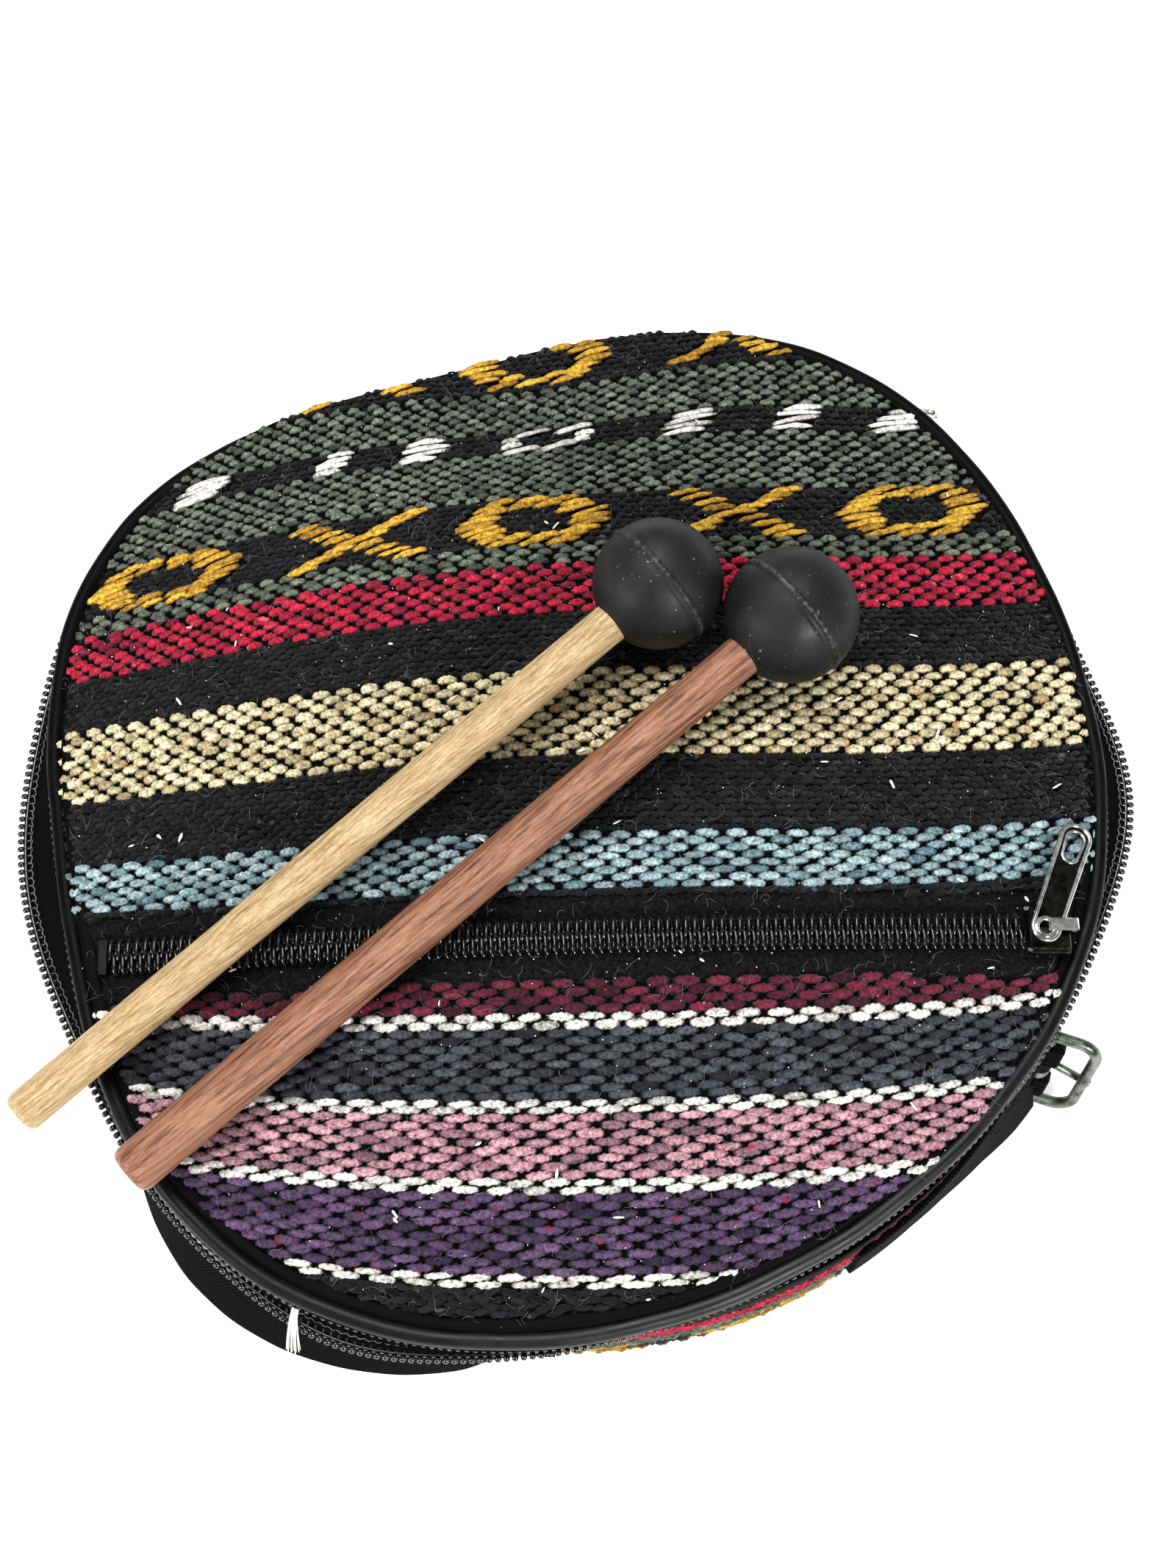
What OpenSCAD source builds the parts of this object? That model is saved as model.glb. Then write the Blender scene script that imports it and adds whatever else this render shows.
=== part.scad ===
// Small frame drum in its soft round zip case, with two rubber-ball mallets on the lid.
// The case lies on its back: +Z is up, and the origin is the middle of the back panel's underside.
// +Y points to the cloth hinge of the lid, and -Y to the opening side.

/* [Case] */
// Outer radius of the round body of the case
case_r = 93; // [92:0.5:94]
// Height at which the body's cloth wall ends
wall_top = 34.5; // [33:0.5:35]
// Thickness of the woven cloth
cloth_t = 1.8; // [1:0.1:2]
// Thickness of the foam in the back and the wall
foam_t = 4.2; // [3:0.1:4.4]

/* [Lid] */
// Mean radius of the lid over its piping
lid_r = 97; // [96:0.5:98]
// Height of the lid's crown above the table
dome_top = 57; // [56.5:0.1:57.5]
// Radius of the lid's shallow dome
dome_r = 600; // [580:5:640]
// Height of the lid's flat underside
lid_under = 41.2; // [41.1:0.05:41.4]
// Radius of the piping cord
piping_r = 1.55; // [1.2:0.05:1.6]
// Width of the lid's flat edge binding, with the piping
binding_w = 5.3; // [4.5:0.1:6]

/* [Pocket zip] */
// Distance of the pocket zip in front of the middle
pocket_y = -29; // [-30:0.5:-28]
// Slant of the pocket zip to the X axis, degrees
pocket_skew = 1.7; // [0:0.1:3]
// Width of the slot in the cloth that shows the zip
pocket_gap = 14.8; // [14:0.1:16]
// Width of the two rows of teeth together
chain_w = 6.1; // [5.5:0.1:6.4]
// Where the slider is parked along the pocket zip
slider_x = 82; // [80:0.1:84]

/* [Mallets] */
// Radius of the bamboo mallet's ball
bamboo_ball_r = 11.7; // [11:0.1:11.8]
// Radius of the rosewood mallet's ball
rosewood_ball_r = 12.1; // [11.5:0.1:12.1]
// Length from the ball's centre to the stick's end, bamboo
bamboo_len = 143.7; // [130:0.1:150]
// Length from the ball's centre to the stick's end, rosewood
rosewood_len = 149.2; // [130:0.1:155]
// Radius of the bamboo stick
bamboo_stick_r = 3.75; // [3:0.05:3.8]
// Radius of the rosewood stick where it enters the ball
rosewood_stick_r = 3.85; // [3:0.05:3.9]
// Radius of the rosewood stick at its tail
rosewood_tail_r = 4.4; // [4:0.05:4.4]

/* [Drum] */
// Outer radius of the wooden hoop
hoop_r = 83; // [80:0.5:83.5]
// Thickness of the hoop
hoop_t = 6; // [5:0.5:8]
// Number of tacks round the skin
tack_count = 24; // [12:2:32]

/* [Hidden] */

rim_steps = 72;
fine = 96;

// The lid's soft outline: a circle pulled out of round by four lobes
function lobe(a) = 1 + 0.030 * cos(2 * (a - 42)) + 0.025 * cos(3 * (a - 31))
                     + 0.034 * cos(4 * (a + 30)) + 0.011 * cos(5 * a);
function rim(a) = lid_r * lobe(a);

// How far the zip's free edge stands out from the piping: it flares at the left, front left and right
function turn(a, middle) = (a - middle + 540) % 360 - 180;
function flare(a) = 0.9 + 6.8 * exp(-pow(turn(a, 193) / 15, 2)) + 2.2 * exp(-pow(turn(a, 248) / 10, 2))
                        + 4.6 * exp(-pow(turn(a, 1) / 13, 2));

// Height of the lid's dome, and its centre
dome_z = dome_top - dome_r;
function dome(x, y) = dome_z + sqrt(dome_r * dome_r - x * x - y * y);

// Heights in the body
back_t = 2.2;
lining_t = 0.8;
floor_z = back_t + 4.8 + lining_t;
inner_r = case_r - cloth_t - foam_t;
lining_r = inner_r - lining_t;
back_cord_r = 1;
tape_t = 0.8;
body_coil_r = 1.05;
body_coil_z = wall_top + 2.6;
body_coil_at = case_r + 0.55;

// Heights in the lid
padding_z = lid_under + 0.8;
piping_z = 47.8;
tape_in_z = 46.2;
tape_out_z = 42.4;
lid_coil_r = 0.95;
lid_coil_z = 42.1;
zip_depth = 1.3;
bag_depth = 2.2;
bag_t = 0.4;

// The main zip's slider is parked at the right end of the cloth hinge
main_park = 62;
spine_half = 24;
hinge_gap = 1;

// ---- helpers ----

module rim_slab(inset, z0, z1) {
    translate([0, 0, z0])
        linear_extrude(z1 - z0)
            polygon([for (i = [0 : rim_steps - 1])
                let (a = i * 360 / rim_steps, r = rim(a) - inset) [r * cos(a), r * sin(a)]]);
}

module ring(r_out, r_in, z0, z1) {
    rotate_extrude($fn = 180) translate([r_in, z0]) square([r_out - r_in, z1 - z0]);
}

module dome_ball(depth) {
    translate([0, 0, dome_z]) sphere(r = dome_r - depth, $fn = 240);
}

// A layer of the lid that follows the dome, between two depths under its top
module dome_layer(inset, top_depth, bottom_depth) {
    intersection() {
        rim_slab(inset, lid_under, dome_top + 8);
        difference() {
            dome_ball(top_depth);
            dome_ball(bottom_depth);
        }
    }
}

// A closed ring with the cross-section given at each step: sections[i] is a list of [radius, height]
module lofted_ring(sections) {
    n = len(sections);
    m = len(sections[0]);
    points = [for (i = [0 : n - 1], p = sections[i]) let (a = i * 360 / n) [p[0] * cos(a), p[0] * sin(a), p[1]]];
    faces = [for (i = [0 : n - 1], j = [0 : m - 1])
        let (k = (i + 1) % n, l = (j + 1) % m)
        each [[i * m + j, i * m + l, k * m + l], [i * m + j, k * m + l, k * m + j]]];
    polyhedron(points, faces);
}

function disc(r, z, tube, sides) = [for (j = [0 : sides - 1]) [r + tube * cos(-j * 360 / sides),
                                                              z + tube * sin(-j * 360 / sides)]];

// Across the pocket zip: keeps what lies between y0 and y1, and x0 and x1, of its children
module pocket_frame() { rotate([0, 0, pocket_skew]) children(); }
module pocket_cut(x0, x1, y0, y1) {
    intersection() {
        children();
        pocket_frame() translate([x0, pocket_y + y0, lid_under - 5]) cube([x1 - x0, y1 - y0, 40]);
    }
}

// The slider's place on the pocket zip: x along it, and z above the dome
arc_r = sqrt(dome_r * dome_r - pocket_y * pocket_y);
module on_pocket_zip(x) {
    pocket_frame() translate([0, pocket_y, dome_z]) rotate([0, asin(x / arc_r), 0]) translate([0, 0, arc_r])
        children();
}

// A strip of webbing on edge, along points given as [angle, radius]
module webbing(path, t, z0, z1) {
    outer = [for (p = path) [(p[1] + t / 2) * cos(p[0]), (p[1] + t / 2) * sin(p[0])]];
    inner = [for (i = [len(path) - 1 : -1 : 0]) let (p = path[i])
        [(p[1] - t / 2) * cos(p[0]), (p[1] - t / 2) * sin(p[0])]];
    translate([0, 0, z0]) linear_extrude(z1 - z0) polygon(concat(outer, inner));
}

// ---- body of the case ----

module back_panel() { color("#3a3f3a") cylinder(r = case_r - 0.3, h = back_t, $fn = 180); }

module back_padding() {
    color("#d8d5cc") translate([0, 0, back_t]) cylinder(r = inner_r - 0.1, h = 4.8, $fn = 180);
}

module back_lining() {
    color("#222326") translate([0, 0, floor_z - lining_t]) cylinder(r = lining_r, h = lining_t, $fn = 180);
}

module gusset_wall() { color("#4b5345") ring(case_r, case_r - cloth_t, back_t, wall_top - 1); }

module gusset_padding() { color("#d8d5cc") ring(case_r - cloth_t, inner_r, back_t, wall_top - 1); }

module gusset_lining() { color("#222326") ring(inner_r, lining_r, floor_z - lining_t, wall_top - 1); }

module back_piping() {
    color("#151517") rotate_extrude($fn = 180) translate([case_r + back_cord_r, 2.8]) circle(r = back_cord_r, $fn = 24);
}

module rim_binding() { color("#1c1c1e") ring(case_r, lining_r, wall_top - 1, wall_top); }

module body_zip_tape() {
    color("#1c1c1e") ring(case_r + tape_t, case_r, wall_top - 7.5, body_coil_z - body_coil_r);
}

// The teeth run round from one end of the cloth hinge to the other
module body_zip_coil() {
    color("#0e0e10") rotate([0, 0, 90 + spine_half + hinge_gap])
        rotate_extrude(angle = 360 - 2 * (spine_half + hinge_gap), $fn = 180) translate([body_coil_at, body_coil_z])
            circle(r = body_coil_r, $fn = 24);
}

// Cloth strip that joins the lid to the body, below the fold line
spine_t = 0.8;
module hinge_spine() {
    color("#1c1c1e")
        intersection() {
            ring(case_r + tape_t + spine_t, case_r + tape_t, wall_top - 7.5, body_coil_z + 2.2);
            rotate([0, 0, 90 - spine_half]) cube([200, 200, 60]);
            rotate([0, 0, spine_half]) cube([200, 200, 60]);
        }
}

// Clip-shaped slider that rides the body's row of teeth all the way round
clip_len = 9.5;
module main_slider() {
    inner = case_r - 3.6;
    outer = case_r + 2.5;
    color("#c9ccd0") rotate([0, 0, main_park]) {
        translate([inner, -clip_len / 2, wall_top + 0.5]) cube([1.2, clip_len, 4.9]);
        translate([outer, -clip_len / 2, wall_top - 0.3]) cube([1.2, clip_len, 5.7]);
        translate([inner, -clip_len / 2, wall_top + 4.6]) cube([outer + 1.2 - inner, clip_len, 0.8]);
        for (s = [-1, 1])
            translate([outer + 1, s * 2.6, main_bail_z]) rotate([0, 90, 0]) cylinder(r = 0.7, h = 2.4, $fn = 24);
        translate([main_bail_r, -3.3, main_bail_z]) rotate([-90, 0, 0]) cylinder(r = 0.7, h = 6.6, $fn = 24);
    }
}

main_bail_r = case_r + 5.9;
main_bail_z = wall_top + 2.5;
main_pull_len = 11.3;
module main_pull() {
    color("#c9ccd0") rotate([0, 0, main_park]) translate([main_bail_r, 0, main_bail_z]) {
        rotate([90, 0, 0]) pull_eye();
        translate([-0.6, -2.4, -main_pull_len]) cube([1.2, 4.8, main_pull_len - 1.7]);
    }
}

module pull_eye() {
    translate([0, 0, -0.8]) difference() {
        cylinder(r = 2, h = 1.6, $fn = 48);
        translate([0, 0, -1]) cylinder(r = 1, h = 4, $fn = 48);
    }
}

// ---- strap and buckle, at the side of the body ----

strap_z0 = 4.4;
strap_z1 = 24.2;
strap_t = 1.5;
tongue_path = [[268, 93.85], [264, 93.95], [261, 95.4], [258, 98.4], [252, 102.2], [246, 105.0], [240, 107.0],
               [234, 107.8], [228, 107.2], [222, 104.8], [217, 101.8], [212, 98.8], [207, 97.0]];
module strap_tongue() { color("#17171a") webbing(tongue_path, strap_t, strap_z0, strap_z1); }

// The buckle's inner bar leans outwards, and its frame sticks out from the side
bar_at = [87.6, -41.5, 13];
bar_lean = 16.5;
bar_lean_to = 68;
frame_turn = -18;
frame_len = 9;
frame_half = 11.2;
wire_r = 1.1;
corner_r = 4;
buckle_path = [[303, 93.85], [307, 93.95], [312, 94.6], [317, 96.2], [323, 99.0], [328, 100.6], [331.6, 100.2],
               [333.6, 98.6]];

module at_buckle() {
    translate(bar_at) rotate([0, 0, bar_lean_to]) rotate([0, bar_lean, 0]) rotate([0, 0, frame_turn - bar_lean_to])
        children();
}

module strap_buckle_end() {
    color("#17171a") {
        difference() {
            webbing(buckle_path, strap_t, strap_z0, strap_z1);
            at_buckle() cylinder(r = wire_r + 0.15, h = 60, center = true, $fn = 48);
            at_buckle() cylinder(r = wire_r + 2.2, h = 3.2, center = true, $fn = 48);
        }
        at_buckle()
            for (s = [-1, 1])
                translate([0, 0, s * 5.6 - 3.6])
                    difference() {
                        cylinder(r = wire_r + 1.3, h = 7.2, $fn = 48);
                        translate([0, 0, -1]) cylinder(r = wire_r + 0.15, h = 12, $fn = 48);
                    }
    }
}

module wire(from, along, length) {
    translate(from) rotate(along) cylinder(r = wire_r, h = length, $fn = 32);
}

module buckle_frame() {
    color("#aab0b0") at_buckle() {
        wire([0, 0, -frame_half], [0, 0, 0], 2 * frame_half);
        wire([frame_len, 0, corner_r - frame_half], [0, 0, 0], 2 * (frame_half - corner_r));
        for (s = [-1, 1]) {
            translate([0, 0, s * frame_half]) sphere(r = wire_r, $fn = 48);
            wire([0, 0, s * frame_half], [0, 90, 0], frame_len - corner_r);
            translate([frame_len - corner_r, 0, s * (frame_half - corner_r)])
                rotate([90, 0, 0]) rotate([0, 0, s > 0 ? 0 : -90])
                    rotate_extrude(angle = 90, $fn = 96) translate([corner_r, 0]) circle(r = wire_r, $fn = 32);
        }
    }
}

prong_r = 0.8;
prong_x = wire_r + 0.8;
module buckle_prong() {
    color("#aab0b0") at_buckle() rotate([0, 20, 0]) {
        rotate([0, -20, 0]) translate([0, 0, -0.9]) difference() {
            cylinder(r = wire_r + 1.3, h = 1.8, $fn = 48);
            translate([0, 0, -1]) cylinder(r = wire_r + 0.06, h = 4, $fn = 48);
        }
        translate([prong_x, wire_r + prong_r + 0.05, 0]) rotate([0, 90, 0])
            cylinder(r = prong_r, h = frame_len + 0.4, $fn = 32);
        translate([prong_x, 0.6, 0]) rotate([-90, 0, 0])
            cylinder(r = prong_r, h = wire_r + prong_r - 0.55, $fn = 32);
        translate([prong_x, wire_r + prong_r + 0.05, 0]) sphere(r = prong_r, $fn = 32);
    }
}

// ---- lid ----

module lid_lining() { color("#222326") rim_slab(binding_w, lid_under, padding_z); }

module lid_padding() {
    color("#d8d5cc") intersection() {
        rim_slab(binding_w, padding_z, dome_top);
        dome_ball(bag_depth + bag_t);
    }
}

module pocket_bag() {
    color("#2a2b30") pocket_cut(-150, 150, -80, pocket_gap / 2 + 2) dome_layer(binding_w, bag_depth, bag_depth + bag_t);
}

module lid_panel_upper() {
    color("#4b5345") pocket_cut(-150, 150, pocket_gap / 2, 200) dome_layer(binding_w, 0, cloth_t);
}

module lid_panel_lower() {
    color("#c0818c") pocket_cut(-150, 150, -200, -pocket_gap / 2) dome_layer(binding_w, 0, cloth_t);
}

module lid_binding() {
    color("#151517") difference() {
        dome_layer(2 * piping_r, 0.2, 5);
        rim_slab(binding_w, lid_under - 1, dome_top + 9);
    }
}

module lid_piping() {
    color("#0f0f11") lofted_ring([for (i = [0 : rim_steps - 1])
        disc(rim(i * 360 / rim_steps) - piping_r, piping_z, piping_r, 8)]);
}

module lid_zip_tape() {
    color("#1c1c1e") lofted_ring([for (i = [0 : rim_steps - 1]) let (a = i * 360 / rim_steps, r = rim(a))
        [[r - 2.8, tape_in_z], [r + flare(a) - 1, tape_out_z], [r + flare(a) - 1, tape_out_z - tape_t],
         [r - 2.8, tape_in_z - 2.4]]]);
}

module lid_zip_coil() {
    color("#0e0e10") lofted_ring([for (i = [0 : rim_steps - 1]) let (a = i * 360 / rim_steps)
        disc(rim(a) + flare(a) - lid_coil_r + 0.95, lid_coil_z, lid_coil_r, 8)]);
}

// ---- pocket zip ----

module pocket_tape(y0, y1) {
    color("#1c1c1e") pocket_cut(-150, 150, y0, y1) dome_layer(binding_w, zip_depth, zip_depth + tape_t);
}
module pocket_tape_upper() { pocket_tape(0.3, pocket_gap / 2 - 0.1); }
module pocket_tape_lower() { pocket_tape(-pocket_gap / 2 + 0.1, -0.3); }

chain_top = 0.9;
chain_x0 = -82;
chain_x1 = 79;
module pocket_coil(y0, y1) {
    color("#0e0e10") pocket_cut(chain_x0, chain_x1, y0, y1) dome_layer(binding_w, -chain_top, zip_depth - 0.05);
}
module pocket_coil_upper() { pocket_coil(0.05, chain_w / 2); }
module pocket_coil_lower() { pocket_coil(-chain_w / 2, -0.05); }

module pocket_end_stop() {
    color("#c9ccd0") pocket_cut(chain_x0 - 1.6, chain_x0 - 0.1, -chain_w / 2, chain_w / 2)
        dome_layer(binding_w, -chain_top - 0.2, zip_depth - 0.05);
}

// Slider: a channel over the teeth, with a bail on top that carries the pull
slider_len = 8;
slider_half = 4.3;
plate_z = chain_top + 0.45;
plate_t = 0.9;
cheek_z = -0.05;
bail_z = plate_z + 3.25;
bail_r = 0.65;
module pocket_slider() {
    color("#c9ccd0") on_pocket_zip(slider_x) {
        translate([-slider_len / 2, -slider_half, plate_z]) cube([slider_len, 2 * slider_half, plate_t]);
        for (s = [-1, 1])
            translate([-slider_len / 2, s * (slider_half - 0.45) - 0.45, cheek_z])
                cube([slider_len, 0.9, plate_z + 0.45 - cheek_z]);
        translate([-slider_len / 2, 0, bail_z]) rotate([0, 90, 0]) cylinder(r = bail_r, h = slider_len, $fn = 32);
        for (s = [-1, 1])
            translate([s * (slider_len / 2 - bail_r), 0, plate_z + 0.6])
                cylinder(r = bail_r, h = bail_z - plate_z - 0.6, $fn = 32);
    }
}

// Pull: a flat tapered plate with a window at its far end, and an oval ring that hangs on the bail.
// The ring is cast at a tilt, so that the plate lies flat while the ring goes round the bail.
pull_yaw = -19;
pull_drop = -10.5;
pull_far = 21;
pull_near = 4.1;
pull_w = 6;
pull_neck_w = 4;
pull_t = 1;
window_w = 3.2;
window_l = 2.6;
ring_tilt = 35;
ring_w = 4.2;
ring_l = 4.6;
ring_rim = 0.75;
ring_shift = 1.1;
module pocket_pull() {
    color("#c9ccd0") on_pocket_zip(slider_x) translate([0, 0, bail_z]) {
        translate([0, ring_shift, 0]) rotate([0, ring_tilt, 0]) linear_extrude(pull_t, center = true) difference() {
            scale([ring_w + 2 * ring_rim, ring_l + 2 * ring_rim]) circle(d = 1, $fn = 64);
            scale([ring_w, ring_l]) circle(d = 1, $fn = 64);
        }
        translate([0, pull_near, 0]) rotate([0, 0, pull_yaw]) rotate([pull_drop, 0, 0]) difference() {
            linear_extrude(pull_t, center = true) hull() {
                translate([0, pull_far - pull_near - pull_w / 2]) circle(d = pull_w, $fn = 64);
                translate([0, pull_neck_w / 2 - 0.6]) circle(d = pull_neck_w, $fn = 64);
            }
            translate([0, pull_far - pull_near - pull_w / 2, -pull_t]) linear_extrude(3 * pull_t) hull() {
                circle(d = window_w, $fn = 48);
                translate([0, -window_l]) circle(d = window_w, $fn = 48);
            }
            translate([0, 0, pull_t / 2 - 0.35]) linear_extrude(pull_t) hull() {
                translate([0, 8]) circle(d = 3.2, $fn = 48);
                translate([0, 3.2]) circle(d = 2.4, $fn = 48);
            }
        }
    }
}

// ---- mallets ----

ball_gap = 0.05;
grip_depth = 8;
bamboo_at = [15.2, 32.72];
bamboo_heading = -139.65;
bamboo_tilt = 5.59;
rosewood_at = [38.67, 26.83];
rosewood_heading = -139.28;
rosewood_tilt = 4.26;

// Stands at the ball's centre with X along the stick towards its tail
module at_mallet(at, r, heading, tilt) {
    translate([at[0], at[1], dome(at[0], at[1]) + ball_gap + r]) rotate([0, 0, heading]) rotate([0, tilt, 0])
        children();
}

module rubber_ball(r, stick_r) {
    color("#2a2b2d") rotate([0, 90, 0]) difference() {
        sphere(r = r, $fn = 120);
        translate([0, 0, grip_depth - r]) cylinder(r = stick_r, h = 2 * r, $fn = 64);
    }
}

module bamboo_stick() {
    color("#d9b77d") at_mallet(bamboo_at, bamboo_ball_r, bamboo_heading, bamboo_tilt) rotate([0, 90, 0])
        translate([0, 0, grip_depth - bamboo_ball_r])
            cylinder(r = bamboo_stick_r, h = bamboo_len + bamboo_ball_r - grip_depth, $fn = 64);
}

module bamboo_ball() {
    at_mallet(bamboo_at, bamboo_ball_r, bamboo_heading, bamboo_tilt) rubber_ball(bamboo_ball_r, bamboo_stick_r);
}

rosewood_straight = 25;
module rosewood_stick() {
    color("#a0603f") at_mallet(rosewood_at, rosewood_ball_r, rosewood_heading, rosewood_tilt) rotate([0, 90, 0])
        rotate_extrude($fn = 96) polygon([
            [0, grip_depth - rosewood_ball_r], [rosewood_stick_r, grip_depth - rosewood_ball_r],
            [rosewood_stick_r, rosewood_straight], [rosewood_tail_r, rosewood_len],
            [0, rosewood_len]]);
}

module rosewood_ball() {
    at_mallet(rosewood_at, rosewood_ball_r, rosewood_heading, rosewood_tilt)
        rubber_ball(rosewood_ball_r, rosewood_stick_r);
}

// ---- the drum inside ----

hoop_z0 = floor_z;
hoop_z1 = 40;
skin_t = 0.6;
skin_fold = 12;
band_w = 5;
module drum_hoop() { color("#c79a63") ring(hoop_r, hoop_r - hoop_t, hoop_z0, hoop_z1); }

module drum_skin() {
    color("#e6dcc3") {
        translate([0, 0, hoop_z1]) cylinder(r = hoop_r + skin_t, h = skin_t, $fn = 180);
        ring(hoop_r + skin_t, hoop_r, hoop_z1 - skin_fold, hoop_z1 + skin_t);
    }
}

module skin_band() {
    color("#7c2b26") ring(hoop_r + skin_t + 0.8, hoop_r + skin_t, hoop_z1 - skin_fold, hoop_z1 - skin_fold + band_w);
}

module drum_tacks() {
    color("#b8953c") for (i = [0 : tack_count - 1])
        rotate([0, 0, (i + 0.5) * 360 / tack_count])
            translate([hoop_r + skin_t + 0.8, 0, hoop_z1 - skin_fold + band_w / 2])
                intersection() {
                    translate([-1, 0, 0]) sphere(r = 1.9, $fn = 32);
                    translate([0.12, -3, -3]) cube(6);
                }
}

back_panel();
back_padding();
back_lining();
gusset_wall();
gusset_padding();
gusset_lining();
back_piping();
rim_binding();
body_zip_tape();
body_zip_coil();
hinge_spine();
main_slider();
main_pull();
strap_tongue();
strap_buckle_end();
buckle_frame();
buckle_prong();
lid_lining();
lid_padding();
pocket_bag();
lid_panel_upper();
lid_panel_lower();
lid_binding();
lid_piping();
lid_zip_tape();
lid_zip_coil();
pocket_tape_upper();
pocket_tape_lower();
pocket_coil_upper();
pocket_coil_lower();
pocket_end_stop();
pocket_slider();
pocket_pull();
bamboo_stick();
bamboo_ball();
rosewood_stick();
rosewood_ball();
drum_hoop();
drum_skin();
skin_band();
drum_tacks();
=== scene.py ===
"""Looks of a small drum's soft zip case with two mallets on its lid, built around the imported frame.

Lengths in this file are millimetres until mesh_object() turns them into metres.
"""
import math

import bpy
import numpy as np
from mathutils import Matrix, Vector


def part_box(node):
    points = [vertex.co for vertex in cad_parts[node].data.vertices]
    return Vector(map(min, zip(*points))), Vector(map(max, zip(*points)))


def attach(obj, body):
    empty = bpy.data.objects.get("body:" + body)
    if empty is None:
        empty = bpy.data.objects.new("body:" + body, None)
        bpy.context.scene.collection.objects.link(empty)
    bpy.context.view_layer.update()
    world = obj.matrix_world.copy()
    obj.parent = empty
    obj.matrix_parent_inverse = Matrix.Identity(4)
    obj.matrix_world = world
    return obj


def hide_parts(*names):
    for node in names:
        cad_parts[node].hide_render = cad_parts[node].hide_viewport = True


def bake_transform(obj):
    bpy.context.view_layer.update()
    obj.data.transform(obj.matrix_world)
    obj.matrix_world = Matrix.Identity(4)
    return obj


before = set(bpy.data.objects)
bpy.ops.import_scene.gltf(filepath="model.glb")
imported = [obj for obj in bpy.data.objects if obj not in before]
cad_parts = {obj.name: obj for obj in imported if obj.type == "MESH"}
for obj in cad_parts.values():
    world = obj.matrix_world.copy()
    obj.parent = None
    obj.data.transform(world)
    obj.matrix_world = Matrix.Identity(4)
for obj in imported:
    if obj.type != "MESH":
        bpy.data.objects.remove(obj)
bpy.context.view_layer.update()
MM = 0.001
rng = np.random.default_rng(11)

# ---- shapes that the frame fixes ----


def node_box(node):
    low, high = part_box(node)
    return np.array(low) / MM, np.array(high) / MM


CASE_R = node_box("gusset_wall")[1][0]
DOME_TOP = node_box("lid_panel_upper")[1][2]
DOME_R = 600.0
LID_R = 97.0
PIPING_R = 1.55
PIPING_Z = 47.8
BINDING_W = 5.3
POCKET_Y = -29.0
POCKET_SKEW = math.radians(1.7)
POCKET_HALF = 7.4
STRAIGHT_UP = (0.0, 0.0, 1.0)


def cosd(degrees):
    return np.cos(np.radians(degrees))


def sind(degrees):
    return np.sin(np.radians(degrees))


def ring_points(a, radius, height):
    """Points at the angles a in degrees round the case's axis."""
    return np.stack(np.broadcast_arrays(radius * cosd(a), radius * sind(a), height), -1)


def run_along(points):
    """How far each point is along the path through all of them."""
    return np.concatenate([[0], np.cumsum(np.linalg.norm(np.diff(points, axis=0), axis=1))])


def dome_z(x, y=0.0):
    return DOME_TOP - DOME_R + np.sqrt(DOME_R ** 2 - x * x - y * y)


def rim(a):
    """Outline of the lid over its piping at the angle a in degrees."""
    return LID_R * (1 + 0.030 * cosd(2 * (a - 42)) + 0.025 * cosd(3 * (a - 31))
                    + 0.034 * cosd(4 * (a + 30)) + 0.011 * cosd(5 * a))


def hump(a, middle, width):
    return np.exp(-(((a - middle + 540) % 360 - 180) / width) ** 2)


def flare(a):
    """How far the free zip edge stands out from the piping."""
    return (0.9 + 6.3 * hump(a, 189, 18) + 2.2 * hump(a, 248, 10) + 4.6 * hump(a, 1, 13)
            - 5.2 * hump(a, 299, 21))


def angle_of(x, y):
    return np.degrees(np.arctan2(y, x)) % 360


def inside_rim(x, y):
    """Distance from a point in plan to the lid's outline, positive inside."""
    return rim(angle_of(x, y)) - np.hypot(x, y)


def smooth(x, low, high):
    t = np.clip((x - low) / (high - low), 0, 1)
    return t * t * (3 - 2 * t)


def shown_edge(a):
    """How much of the binding and piping shows: at the back the cloth bulges over them."""
    return (3.7 + 0.7 * hump(a, 270, 50) - 3.1 * hump(a, 105, 36) - 1.2 * hump(a, 40, 34)
            - 0.6 * hump(a, 180, 30) - 0.9 * hump(a, 318, 24))


def lid_z(x, y, depth=0.0):
    """Top of the lid: the dome with slight hollows, tucked under the edge binding or laid over it."""
    edge, inside = shown_edge(angle_of(x, y)), inside_rim(x, y)
    hollows = 0.30 * (1 - np.cos(x / 17 + 1.3) * np.cos(y / 21 - 0.6))
    tuck = 0.9 * (1 - smooth(inside, edge - 0.6, edge + 1.6)) * edge / 4
    over = 1.1 * np.maximum(1 - edge / 4, 0) * (1 - smooth(inside, 1.5, 8))
    return dome_z(x, y) - hollows - tuck + over - depth


def pocket_xy(x, y):
    """Plan coordinates turned so that the pocket zip lies along X at Y = 0."""
    c, s = math.cos(POCKET_SKEW), math.sin(POCKET_SKEW)
    return x * c + y * s, -x * s + y * c - POCKET_Y


def from_pocket(u, v):
    c, s = math.cos(POCKET_SKEW), math.sin(POCKET_SKEW)
    v = v + POCKET_Y
    return u * c - v * s, u * s + v * c


# ---- meshes ----


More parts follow.
